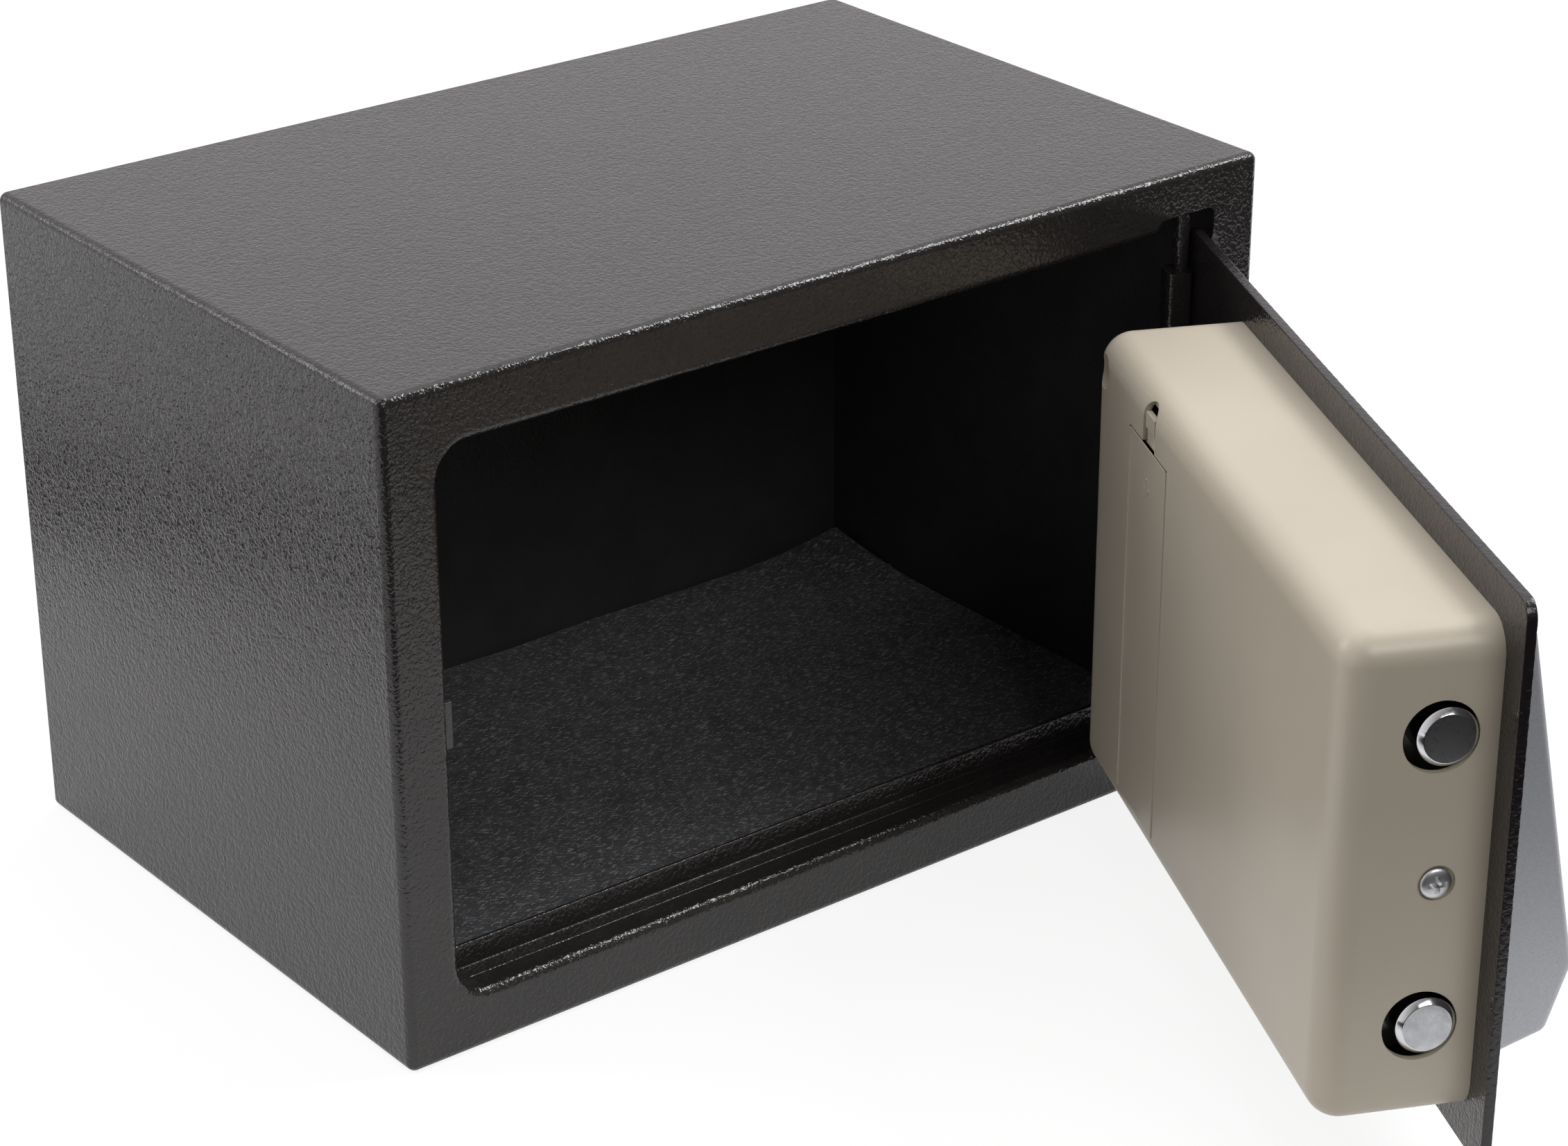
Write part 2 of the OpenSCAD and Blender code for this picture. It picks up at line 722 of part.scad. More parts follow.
// Involute function of a point at radius r, in degrees
function involute(r) = let (a = acos(min(1, pitch_r * cos(20) / r))) tan(a) * 180 / PI - a;
// Half the angle of a pinion tooth at radius r, in degrees
function tooth_half(r) = 90 / gear_n + (tan(20) * 180 / PI - 20) - involute(r)
                         - tooth_play / 2 / pitch_r * 180 / PI;

module drive_pinion() {
    root_r = pitch_r - 1.1 * gear_m;
    tip_r = pitch_r + 0.95 * gear_m;
    base_r = pitch_r * cos(20);
    steps = [for (i = [0:5]) base_r + (tip_r - base_r) * i / 5];
    right = [for (r = steps) [r * sin(tooth_half(r)), r * cos(tooth_half(r))]];
    left = [for (i = [5:-1:0]) [-right[i][0], right[i][1]]];
    foot = (root_r - 0.3) * tooth_half(base_r) * PI / 180;
    tooth = concat([[foot, root_r - 0.3]], right, left, [[-foot, root_r - 0.3]]);
    color([0.85, 0.84, 0.78]) on_door() {
        translate([pinion_x, carrier_y + carrier_t + 0.5, pinion_z]) rotate([90, 0, 0])
            linear_extrude(height = carrier_t + 1) union() {
                circle(r = root_r);
                for (k = [0:gear_n - 1]) rotate([0, 0, k * 360 / gear_n]) polygon(tooth);
            }
        rod_y([pinion_x, gearbox_y1 - shaft_seat, pinion_z], shaft_r,
              carrier_y + carrier_t + 1.5 - gearbox_y1 + shaft_seat);
    }
}

module gearbox() {
    color([0.9, 0.9, 0.86]) on_door() difference() {
        block([pinion_x - gearbox_w / 2, gearbox_y0, pinion_z - gearbox_drop],
              [pinion_x + gearbox_w / 2, gearbox_y1, pinion_z - gearbox_drop + gearbox_h]);
        rod_y([pinion_x, gearbox_y1 - shaft_seat - 0.1, pinion_z], shaft_r + 0.05, shaft_seat + 3);
    }
}

module drive_motor() {
    x0 = pinion_x + gearbox_w / 2;
    color([0.75, 0.76, 0.78]) on_door() {
        rod_x([x0, motor_y, motor_z], motor_r, motor_len);
        rod_x([x0 + motor_len, motor_y, motor_z], motor_boss_r, 2);
    }
}

module motor_bracket() {
    color([0.62, 0.62, 0.6]) on_door()
        block([pinion_x - gearbox_w / 2 + 3, plate_y, pinion_z - gearbox_drop - 6],
              [pinion_x + gearbox_w / 2 + 14, gearbox_y0, pinion_z + 18]);
}

// ---------------------------------------------------------------- batteries

module battery_tray() {
    color([0.2, 0.2, 0.2]) on_door() difference() {
        block([tray_x0 - tray_t, tray_y0, tray_z0], [tray_x1 + tray_t, panel_y - 0.3, tray_z1]);
        block([tray_x0, tray_y0 + tray_t, tray_z0 + tray_t],
              [tray_x1, panel_y + 1, tray_z1 - tray_t]);
    }
}

// A cell with its raised contact at the top
module battery(column, row) {
    color([0.25, 0.3, 0.4]) on_door() {
        rod_z([cell_x[column], cell_y, cell_z[row]], cell_r, cell_len - cell_nub);
        rod_z([cell_x[column], cell_y, cell_z[row]], cell_nub_r, cell_len);
    }
}

module battery_1() { battery(0, 1); }
module battery_2() { battery(1, 1); }
module battery_3() { battery(0, 0); }
module battery_4() { battery(1, 0); }

// A short sleeve of the compressed spring's size at the foot of each column, a plate at the top
module battery_contacts() {
    color([0.8, 0.8, 0.8]) on_door() for (x = cell_x) {
        difference() {
            rod_z([x, cell_y, tray_z0 + tray_t], contact_r, spring_len);
            rod_z([x, cell_y, tray_z0 + tray_t - 1], contact_r - 1, spring_len + 2);
        }
        block([x - contact_half_w, cell_y - contact_half_w, cell_z[1] + cell_len],
              [x + contact_half_w, cell_y + contact_half_w, tray_z1 - tray_t]);
    }
}

// ---------------------------------------------------------------- electronics

module circuit_board() {
    color([0.1, 0.35, 0.2]) on_door()
        block([board_x0, board_y, board_z0], [board_x1, board_y + board_t, board_z1]);
}

module board_posts() {
    color([0.75, 0.72, 0.6]) on_door()
        for (x = [board_x0 + post_inset, board_x1 - post_inset],
             z = [board_z0 + post_inset, board_z1 - post_inset])
            rod_y([x, plate_y, z], post_r, board_y - plate_y);
}

module reset_switch() {
    y0 = board_y + board_t;
    color([0.12, 0.12, 0.12]) on_door()
        block([reset_x - switch_w / 2, y0, reset_z - switch_w / 2],
              [reset_x + switch_w / 2, y0 + switch_h, reset_z + switch_w / 2]);
}

module reset_button() {
    y0 = board_y + board_t + switch_h + button_travel + 0.3;
    y1 = cover_y - well_d + 3;
    collar = 1.5;
    color([0.82, 0.8, 0.74]) on_door() {
        rod_y([reset_x, y0, reset_z], button_r, y1 - y0);
        rod_y([reset_x, y0, reset_z], button_r + collar, collar);
    }
}

module wire_grommet() {
    color([0.08, 0.08, 0.08]) on_door() difference() {
        union() {
            rod_y([pad_mid, face_y, wire_z], wire_hole_r, door_t);
            rod_y([pad_mid, plate_y, wire_z], wire_hole_r + 1.5, 1.5);
        }
        rod_y([pad_mid, face_y - 1, wire_z], wire_hole_r - 1.5, door_t + 5);
    }
}

// ---------------------------------------------------------------- keypad

// Where two lines meet, each given by a point and a direction
function meet(p, d, q, e) =
    let (k = ((q[0] - p[0]) * e[1] - (q[1] - p[1]) * e[0]) / (d[0] * e[1] - d[1] * e[0]))
    p + k * d;
function unit(v) = v / norm(v);
// Moves each side of a convex outline inwards by t; side i runs from point i to the next
function inset(pts, t) =
    let (n = len(pts),
         dir = [for (i = [0:n - 1]) unit(pts[(i + 1) % n] - pts[i])],
         side = [for (i = [0:n - 1]) pts[i] + t * [-dir[i][1], dir[i][0]]])
    [for (i = [0:n - 1])
        meet(side[(i + n - 1) % n], dir[(i + n - 1) % n], side[i], dir[i])];

module pad_prism(pts, x0, x1) {
    translate([x0, 0, 0]) rotate([90, 0, 90]) linear_extrude(height = x1 - x0) polygon(pts);
}

module key_places() {
    for (row = [0:3], column = [-1:1])
        on_slope(column * key_pitch_x, key_first_t + row * key_pitch_t) children();
}

module keypad_housing() {
    hollow = inset(pad_side, pad_t);
    open_back = [[face_y + 1, hollow[0][1]], hollow[1], hollow[2], hollow[3],
                 [face_y + 1, hollow[4][1]]];
    color([0.72, 0.73, 0.75]) on_door() difference() {
        union() {
            difference() {
                pad_prism(pad_side, pad_x0, pad_x1);
                pad_prism(open_back, pad_x0 + pad_t, pad_x1 - pad_t);
            }
            intersection() {
                pad_prism(pad_side, pad_x0, pad_x1);
                for (b = boss) rod_y([b[0], face_y - pad_max_d, b[1]], boss_r, pad_max_d);
            }
        }
        for (b = boss) rod_y([b[0], face_y - boss_d, b[1]], screw_r, boss_d + 1);
        key_places() translate([-key_w / 2 - key_gap, -key_h / 2 - key_gap, -pad_t - 1])
            cube([key_w + 2 * key_gap, key_h + 2 * key_gap, pad_t + 2]);
        on_slope(0, window_t) translate([-window_w / 2, -window_h / 2, -window_seat])
            cube([window_w, window_h, 3]);
        on_slope(0, window_t) translate([-window_w / 2 + 4, -window_h / 2 + 3, -pad_t - 1])
            cube([window_w - 8, window_h - 6, pad_t + 2]);
        on_slope(0, cap_t) translate([0, 0, -pad_t - 1]) cylinder(r = cap_neck_r + 0.2, h = 9);
    }
}

module display_window() {
    color([0.05, 0.05, 0.06]) on_door() on_slope(0, window_t)
        translate([-window_w / 2 + 0.1, -window_h / 2 + 0.1, -window_seat])
            cube([window_w - 0.2, window_h - 0.2, window_seat + window_proud]);
}

module key(row, column) {
    color([0.2, 0.2, 0.22]) on_door()
        on_slope(column * key_pitch_x, key_first_t + row * key_pitch_t)
            translate([0, 0, -key_depth]) linear_extrude(height = key_depth + key_proud)
                round_rect(-key_w / 2, -key_h / 2, key_w / 2, key_h / 2, key_corner_r);
}

module key_1() { key(0, -1); }
module key_2() { key(0, 0); }
module key_3() { key(0, 1); }
module key_4() { key(1, -1); }
module key_5() { key(1, 0); }
module key_6() { key(1, 1); }
module key_7() { key(2, -1); }
module key_8() { key(2, 0); }
module key_9() { key(2, 1); }
module key_left() { key(3, -1); }
module key_0() { key(3, 0); }
module key_right() { key(3, 1); }

// Rubber mat under the keys, and the board that carries it and the display
module key_mat() {
    color([0.3, 0.3, 0.32]) on_door() on_slope(0, key_first_t - key_pitch_t / 2)
        translate([-key_pitch_x * 1.5, -key_pitch_t * 4, -key_depth - key_drop - key_mat_t])
            cube([key_pitch_x * 3, key_pitch_t * 4, key_mat_t]);
}

module keypad_board() {
    low = key_first_t + key_pitch_t * 3.5;
    color([0.1, 0.35, 0.2]) on_door() on_slope(0, low)
        translate([-key_board_w / 2, 0, -key_depth - key_drop - key_mat_t - board_t])
            cube([key_board_w, low - 7, board_t]);
}

module keypad_screws() {
    color([0.7, 0.7, 0.72]) on_door() for (b = boss) {
        rod_y([b[0], face_y - boss_d + 1.5, b[1]], screw_r, boss_d - 1.5 + door_t);
        rod_y([b[0], plate_y, b[1]], screw_head_r, 2);
    }
}

module lock_barrel() {
    color([0.75, 0.75, 0.76]) on_door() difference() {
        union() {
            rod_y([pad_mid, barrel_y0, barrel_z], barrel_r, barrel_y1 - barrel_y0);
            rod_y([pad_mid, plate_y, barrel_z], barrel_nut_r, barrel_nut_t, $fn = 6);
        }
        rod_y([pad_mid, barrel_y0 - 1, barrel_z], plug_r + 0.05, barrel_y1 - barrel_y0 + 2);
    }
}

module lock_plug() {
    color([0.85, 0.83, 0.78]) on_door() difference() {
        rod_y([pad_mid, barrel_y0, barrel_z], plug_r, barrel_y1 - barrel_y0 + 0.2);
        block([pad_mid - keyway_half_w, barrel_y0 - 1, barrel_z - keyway_half_h],
              [pad_mid + keyway_half_w, barrel_y0 + keyway_d, barrel_z + keyway_half_h]);
    }
}

module lock_cam() {
    y0 = barrel_y1 + 0.2;
    color([0.7, 0.7, 0.72]) on_door() {
        rod_y([pad_mid, y0, barrel_z], cam_hub_r, cam_t);
        block([pad_mid - cam_half_w, y0, barrel_z],
              [pad_mid + cam_half_w, y0 + cam_t, barrel_z + cam_len]);
    }
}

module override_cap() {
    color([0.7, 0.71, 0.73]) on_door() on_slope(0, cap_t) {
        translate([0, 0, 0.1]) cylinder(r = cap_r, h = cap_plate_t);
        difference() {
            translate([0, 0, -cap_neck]) cylinder(r = cap_neck_r, h = cap_neck + 0.2);
            translate([0, 0, -cap_neck - 1]) cylinder(r = cap_neck_r - cap_wall, h = cap_neck + 1);
        }
    }
}

// ---------------------------------------------------------------- nodes

body_shell();
back_panel();
front_frame();
sill_strip();
door_stop_tab();
upper_hinge_bracket();
lower_hinge_bracket();
floor_mat();
door_plate();
hinge_bar();
hinge_pins();
hinge_spacer();
lock_cover();
cover_screws();
cover_bracket();
bolt_guide();
carrier_pins();
gearbox();
drive_motor();
motor_bracket();
battery_tray();
battery_1();
battery_2();
battery_3();
battery_4();
battery_contacts();
circuit_board();
board_posts();
reset_switch();
wire_grommet();
keypad_housing();
keypad_board();
key_mat();
display_window();
keypad_screws();
lock_barrel();
bolt_carrier();
bolt_upper();
bolt_lower();
bolt_nuts();
drive_pinion();
battery_cover();
reset_button();
lock_plug();
lock_cam();
override_cap();
key_1();
key_2();
key_3();
key_4();
key_5();
key_6();
key_7();
key_8();
key_9();
key_left();
key_0();
key_right();
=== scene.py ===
# %% [markdown]
# # An in-room safe with its door open
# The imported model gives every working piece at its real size. This file gives the pieces their looks. It is
# read like a notebook: a note first, then a short cell that makes what the note is about.

# %% Start
import json
import math
from contextlib import contextmanager

import bmesh
import bpy
from mathutils import Matrix, Vector


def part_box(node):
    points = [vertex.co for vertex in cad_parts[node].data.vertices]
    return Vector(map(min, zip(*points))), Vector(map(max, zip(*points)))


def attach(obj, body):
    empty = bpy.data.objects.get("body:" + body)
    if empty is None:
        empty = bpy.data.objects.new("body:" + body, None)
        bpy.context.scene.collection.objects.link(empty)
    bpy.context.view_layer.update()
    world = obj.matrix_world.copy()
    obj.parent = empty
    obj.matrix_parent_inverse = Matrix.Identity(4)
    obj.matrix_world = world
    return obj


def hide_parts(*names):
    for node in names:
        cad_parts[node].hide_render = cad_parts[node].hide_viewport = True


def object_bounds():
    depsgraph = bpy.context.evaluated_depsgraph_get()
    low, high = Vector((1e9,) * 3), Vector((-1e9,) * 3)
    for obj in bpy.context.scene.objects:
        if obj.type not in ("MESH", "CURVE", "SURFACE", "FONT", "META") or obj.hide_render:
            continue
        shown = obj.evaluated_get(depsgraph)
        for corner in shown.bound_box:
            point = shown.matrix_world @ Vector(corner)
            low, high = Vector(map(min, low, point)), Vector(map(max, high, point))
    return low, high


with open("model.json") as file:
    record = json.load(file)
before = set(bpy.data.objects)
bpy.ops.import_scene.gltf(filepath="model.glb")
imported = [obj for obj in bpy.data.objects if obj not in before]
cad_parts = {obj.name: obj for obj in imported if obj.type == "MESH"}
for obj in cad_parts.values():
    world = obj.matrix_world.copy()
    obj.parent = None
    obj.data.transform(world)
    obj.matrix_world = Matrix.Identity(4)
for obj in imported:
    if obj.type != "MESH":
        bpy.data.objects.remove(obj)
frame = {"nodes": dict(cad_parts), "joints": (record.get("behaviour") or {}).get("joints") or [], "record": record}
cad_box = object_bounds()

MM = 0.001


def mm(*lengths):
    """Lengths in metres, from lengths in millimetres."""
    return [length * MM for length in lengths]


nodes = frame["nodes"]
joints = {joint["name"]: joint for joint in frame["joints"]}
print("pieces of the packed model:", len(nodes))

# %% [markdown]
# ## Where the door stands
# What belongs to the door is easiest to build as if the door were shut: X runs along the plate, Y from its
# front to its back and Z up, with the hinge's axis at zero. The bolts' direction gives the turn of that
# frame.

# %% The door's own frame
hinge_at = Vector(joints["door_swing"]["pos_m"])
bolts_point = Vector(joints["bolt_throw"]["axis"])
door_turn = math.atan2(-bolts_point.y, -bolts_point.x)
on_door = Matrix.Translation((hinge_at.x, hinge_at.y, 0)) @ Matrix.Rotation(door_turn, 4, "Z")
on_body = Matrix.Identity(4)
print("door open by", round(math.degrees(door_turn), 1), "degrees")


def local_box(node, place=on_door):
    """Lowest and highest corner of a CAD node in the frame of place, in metres."""
    back = place.inverted()
    points = [back @ v.co for v in nodes[node].data.vertices]
    return [Vector(pick(p[i] for p in points) for i in range(3)) for pick in (min, max)]


# %% [markdown]
# ## Writing nodes as sums
# Node trees are easier to read as formulas. `Wire` holds one output of a node, and a sum or product of
# wires adds the Math node for it. `Graph.node` makes any node from its type, its sockets and its settings.

# %% Wire and Graph
def arithmetic(operation, swapped=False):
    """A method that adds a Math node."""
    def work(self, other):
        return self.graph.maths(operation, *((other, self) if swapped else (self, other)))
    return work


class Wire:
    """One output of a node."""

    def __init__(self, graph, socket):
        self.graph, self.socket = graph, socket

    __add__ = __radd__ = arithmetic("ADD")
    __mul__ = __rmul__ = arithmetic("MULTIPLY")
    __sub__, __rsub__ = arithmetic("SUBTRACT"), arithmetic("SUBTRACT", swapped=True)
    __gt__, __lt__ = arithmetic("GREATER_THAN"), arithmetic("LESS_THAN")


class Graph:
    """A node tree that is built by calls."""

    def __init__(self, tree):
        self.tree = tree

    def node(self, kind, sockets=None, out=0, **settings):
        """A new node with its settings and sockets, as the wire of its output out."""
        made = self.tree.nodes.new(kind)
        for name, value in settings.items():
            setattr(made, name, value)
        for key, value in (sockets or {}).items():
            if isinstance(value, Wire):
                self.tree.links.new(value.socket, made.inputs[key])
            else:
                made.inputs[key].default_value = value
        return Wire(self, made.outputs[out]) if made.outputs else made

    def maths(self, operation, first, second):
        return self.node("ShaderNodeMath", {0: first, 1: second}, operation=operation)

    def mix(self, factor, first, second):
        """Blends two colours."""
        return self.node("ShaderNodeMix", {0: factor, 6: first, 7: second}, 2, data_type="RGBA")

    def ramp(self, factor, low, high):
        """0 below low, 1 above high, and straight in between."""
        return self.node("ShaderNodeMapRange", {0: factor, 1: low, 2: high})

    def ray(self, name):
        """1 for one kind of ray and 0 for all others."""
        return self.node("ShaderNodeLightPath", out=name)


# %% [markdown]
# ## A finish
# Every finish is one Principled shader whose patterns read the object's own coordinates, so they stay on
# the piece when it moves. Sizes are real: `grain(1.2)` gives bumps about 1.2 mm apart, and `depth` is their
# height in millimetres. Bumps too fine to be seen only cost time, so a finish has two or three layers.

# %% Finish
def colour(red, green, blue):
    """A colour as its socket takes it, from linear parts."""
    return (red, green, blue, 1)


NOISE_BUMPS = 1.6  # waves of a noise texture in one unit of its scale


class Finish(Graph):
    """A material under construction."""

    def __init__(self, name):
        self.material = bpy.data.materials.new(name)
        self.material.use_nodes = True
        self.material.node_tree.nodes.clear()
        super().__init__(self.material.node_tree)
        self.place = self.node("ShaderNodeTexCoord", out="Object")

    def stretched(self, turn=0.0, scale=(1, 1, 1)):
        """The place, turned about Z by an angle and stretched."""
        turned = self.node("ShaderNodeMapping", {0: self.place, 2: (0, 0, -turn)})
        return self.node("ShaderNodeMapping", {0: turned, 3: scale})

    def grain(self, size, detail=2.0, rough=0.5, at=None, distort=0.0):
        """Soft random values from 0 to 1 whose bumps lie about size millimetres apart."""
        return self.node("ShaderNodeTexNoise", {
            "Vector": at or self.place, "Scale": NOISE_BUMPS / (size * MM), "Detail": detail,
            "Roughness": rough, "Distortion": distort})

    def shades(self, factor, shade, low, high):
        """The colour shade, made darker or paler: from low to high times as bright."""
        return self.mix(factor, *(colour(*[part * share for part in shade]) for share in (low, high)))

    def bump(self, height, depth, below=None):
        """Tilts the surface by a height from 0 to 1 that stands for depth millimetres."""
        under = {"Normal": below} if below else {}
        return self.node("ShaderNodeBump", {"Height": height, "Distance": depth * MM, **under})

    def made(self, **sockets):
        names = {key.replace("_", " "): value for key, value in sockets.items()}
        shader = self.node("ShaderNodeBsdfPrincipled", names)
        self.node("ShaderNodeOutputMaterial", {"Surface": shader})
        return self.material


# %% [markdown]
# ### Powder coat
# Powder melts in an oven and never flows quite flat, which leaves the leathery waves called orange peel.
# The gloss on top breaks a reflection up into streaks. One noise gives the waves, and a broader one makes
# them fade.

# %% Powder coat
def powder_coat(name, shade, peel, gloss):
    f = Finish(name)
    waves = f.grain(1.9, detail=1.5, rough=0.5, distort=0.5)
    swell = f.grain(5, detail=1)
    height = f.ramp(waves, 0.3, 0.62) * 0.6 + swell * 0.5
    normal = f.bump(height, peel)
    dust = f.ramp(f.grain(24, detail=3), 0.35, 0.75)
    tint = f.shades(dust, shade, 0.9, 1.12)
    rough = gloss + f.ramp(swell, 0.4, 0.75) * 0.05
    return f.made(Base_Color=tint, Roughness=rough, Normal=normal, IOR=1.52)


coat = powder_coat("powder_coat", (0.023, 0.0205, 0.0198), 0.18, 0.12)
# The interior has the same powder coat; its paler shade is painted light, standing in for light the interior does
# not get
inner_coat_painted_light = powder_coat("interior_coat", (0.05, 0.047, 0.048), 0.12, 0.3)
# The cut rim has the same powder coat; its darker, purplish shade is painted shade for the plate's end
edge_coat_painted_shade = powder_coat("plate_end_coat_painted_shade", (0.013, 0.010, 0.012), 0.1, 0.22)


# %% [markdown]
# ### Moulded plastic
# A moulded part copies the fine eroded grain of its steel mould. It shows as a satin gloss with a little
# life in it, plus a very faint flow pattern in the colour.

# %% Plastics
def moulded(name, shade, gloss, grain=0.9, depth=0.006, flow=0.04):
    f = Finish(name)
    fine = f.grain(grain, detail=2)
    drift = f.ramp(f.grain(90, detail=2), 0.3, 0.7)
    tint = f.shades(drift, shade, 1 - flow, 1 + flow)
    rough = gloss + (fine - 0.5) * 0.08
    return f.made(Base_Color=tint, Roughness=rough, Normal=f.bump(fine, depth), IOR=1.46)


cream = moulded("cover_plastic", (0.53, 0.478, 0.385), 0.33)
black_plastic = moulded("black_plastic", (0.018, 0.018, 0.018), 0.42)
white_plastic = moulded("white_plastic", (0.72, 0.71, 0.66), 0.4)
rubber = moulded("rubber", (0.014, 0.014, 0.014), 0.62, depth=0.02)
key_plastic = moulded("key_plastic", (0.026, 0.027, 0.031), 0.34)
legend_paint = moulded("legend_paint", (0.78, 0.79, 0.8), 0.45, flow=0.01)


# %% [markdown]
# ### Silver paint
# Tiny flakes lie at slightly different angles in the paint of the keypad's housing, so it is partly
# metallic, and each flake gets its own brightness from a fine cell pattern.

# %% Silver paint
def silver_paint():
    f = Finish("housing_paint")
    flakes = f.node("ShaderNodeTexVoronoi", {"Vector": f.place, "Scale": 3200.0}, out="Color")
    spark = f.node("ShaderNodeSeparateColor", {0: flakes})
    tint = f.mix(spark * 0.5, colour(0.46, 0.475, 0.505), colour(0.62, 0.635, 0.665))
    fine = f.grain(1, detail=2)
    return f.made(Base_Color=tint, Metallic=0.35, Roughness=0.38 + fine * 0.06, Normal=f.bump(fine, 0.006),
                  Coat_Weight=0.15, Coat_Roughness=0.25)


housing_paint = silver_paint()


# %% [markdown]
# ### Plated metal
# Zinc, nickel and chrome differ in colour, gloss and the marks under the plating. `brush` stretches fine
# scratches along one direction, and `cloud` is how much the plating varies.

# %% Metals
def plated(name, shade, gloss, brush=(1, 1, 1), cloud=0.12, depth=0.004):
    f = Finish(name)
    lines = f.grain(1.2, detail=3, at=f.stretched(door_turn, brush))
    stain = f.ramp(f.grain(7, detail=4, rough=0.6), 0.3, 0.75)
    tint = f.shades(stain, shade, 1, 1 - cloud)
    rough = gloss + lines * 0.12 + stain * 0.06
    return f.made(Base_Color=tint, Metallic=1.0, Roughness=rough, Normal=f.bump(lines, depth))


chrome = plated("bolt_steel", (0.72, 0.73, 0.75), 0.06, cloud=0.05, depth=0.002)
bolt_face = plated("bolt_face", (0.50, 0.51, 0.53), 0.2, cloud=0.25, depth=0.006)
zinc = plated("zinc_steel", (0.60, 0.61, 0.62), 0.26, brush=(1, 8, 8))
screw_zinc = plated("screw_steel", (0.70, 0.71, 0.72), 0.3)
yellow_zinc = plated("yellow_zinc", (0.66, 0.57, 0.34), 0.24, brush=(8, 1, 8), cloud=0.25)
nickel = plated("nickel", (0.68, 0.66, 0.61), 0.2)
motor_can = plated("motor_can", (0.56, 0.57, 0.59), 0.3, brush=(1, 10, 10))

# %% [markdown]
# ### Glossy and printed parts
# The display's window is tinted plastic with a hard polish. A circuit board has green lacquer over copper
# tracks, which are a brick pattern here. The batteries have a plain sleeve in two colours, split at a height
# along the cell.

# %% Window, board and sleeves
def tinted_window():
    f = Finish("window_tint")
    haze = f.grain(40, detail=2)
    return f.made(Base_Color=colour(0.008, 0.009, 0.011), Roughness=0.04 + haze * 0.03, Coat_Weight=0.5,
                  Coat_Roughness=0.03, IOR=1.5)


def circuit_lacquer():
    f = Finish("circuit_board")
    flat = f.node("ShaderNodeMapping", {0: f.place, 2: (math.pi / 2, 0, door_turn)})
    tracks = f.node("ShaderNodeTexBrick", {"Vector": flat, "Scale": 260.0, "Mortar Size": 0.06,
                                           "Brick Width": 0.9, "Row Height": 0.3}, "Fac", offset=0.37)
    tint = f.mix(tracks, colour(0.012, 0.085, 0.035), colour(0.03, 0.17, 0.07))
    return f.made(Base_Color=tint, Roughness=0.3, Normal=f.bump(tracks, 0.03))


def cell_sleeve():
    f = Finish("cell_sleeve")
    height = f.node("ShaderNodeSeparateXYZ", {0: f.place}, out="Z")
    lower, upper = (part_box(node)[1].z - 17 * MM for node in ("battery_3", "battery_1"))
    top = (height > lower) * (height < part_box("battery_3")[1].z) + (height > upper)
    tint = f.mix(top, colour(0.02, 0.022, 0.03), colour(0.42, 0.24, 0.07))
    return f.made(Base_Color=tint, Roughness=0.22, Metallic=0.3, Normal=f.bump(f.grain(3), 0.01))


window_tint = tinted_window()
board_lacquer = circuit_lacquer()
sleeve = cell_sleeve()


# %% [markdown]
# ### Needle felt
# The mat is charcoal needle felt: short fibres punched together until they hold. Stretched noise in two
# directions gives its hairs, and sheen the soft light that cloth has at its edge. Loose hairs come later.

# %% Felt
def needle_felt():
    f = Finish("needle_felt")
    along = f.grain(1.7, detail=2, at=f.stretched(0.35, (0.3, 1.7, 1)), distort=0.5)
    across = f.grain(1.7, detail=2, at=f.stretched(-0.5, (0.4, 1.6, 1)), distort=0.5)
    hairs = along * 0.5 + across * 0.5
    lumps = f.grain(12, detail=2)
    dark = f.mix(f.ramp(lumps, 0.3, 0.7), colour(0.03, 0.0305, 0.033), colour(0.065, 0.066, 0.072))
    pale = f.ramp(hairs, 0.54, 0.62)
    tint = f.mix(pale * 0.85, dark, colour(0.36, 0.365, 0.39))
    normal = f.bump(hairs, 0.3, f.bump(lumps, 0.4))
    return f.made(Base_Color=tint, Roughness=0.93, Normal=normal, Sheen_Weight=0.25, Sheen_Roughness=0.5)


def loose_fibre():
    f = Finish("felt_fibre")
    tint = f.mix(f.ramp(f.grain(2.5), 0.35, 0.65), colour(0.12, 0.121, 0.13), colour(0.5, 0.5, 0.53))
    return f.made(Base_Color=tint, Roughness=0.8)


felt, fibre = needle_felt(), loose_fibre()

# %% [markdown]
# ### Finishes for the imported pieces
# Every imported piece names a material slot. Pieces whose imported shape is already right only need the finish
# that goes with their slot.

# %% Finish by slot
slot_of = {part["node"]: part["material_slot"] for part in frame["record"]["subparts"]}
finish_of_slot = {
    "powder_coat": coat, "interior_coat": inner_coat_painted_light, "felt": felt, "cover_plastic": cream,
    "bolt_steel": chrome, "zinc_steel": zinc, "screw_steel": screw_zinc, "yellow_zinc": yellow_zinc,
    "housing_plastic": housing_paint, "key_plastic": key_plastic, "window": window_tint,
    "black_plastic": black_plastic, "white_plastic": white_plastic, "rubber": rubber,
    "board": board_lacquer, "cell_wrap": sleeve, "nickel": nickel, "motor_can": motor_can,
}
finish_of_node = {"hinge_pins": coat, "hinge_spacer": coat}
for name, piece in nodes.items():
    for holder in piece.material_slots:
        holder.link = "OBJECT"
        holder.material = finish_of_node.get(name, finish_of_slot[slot_of[name]])
print("finishes:", len(finish_of_slot))


# %% [markdown]
# ## Helpers for meshes
# Most shapes here are made by lofting: the same outline at several heights, joined ring by ring. `outline`
# gives a rounded rectangle, `upright` and `level` make rings of it, and `lofted` joins rings. `solid` turns
# points and faces into an object whose place is already in its mesh.

# %% Outlines, rings and solids
ARC_STEPS = 8
AXIS = 0.01 * MM  # as near to the axis as a turned profile comes


def linked(name, data):
    """A new object in the scene."""
    made = bpy.data.objects.new(name, data)
    bpy.context.scene.collection.objects.link(made)
    return made


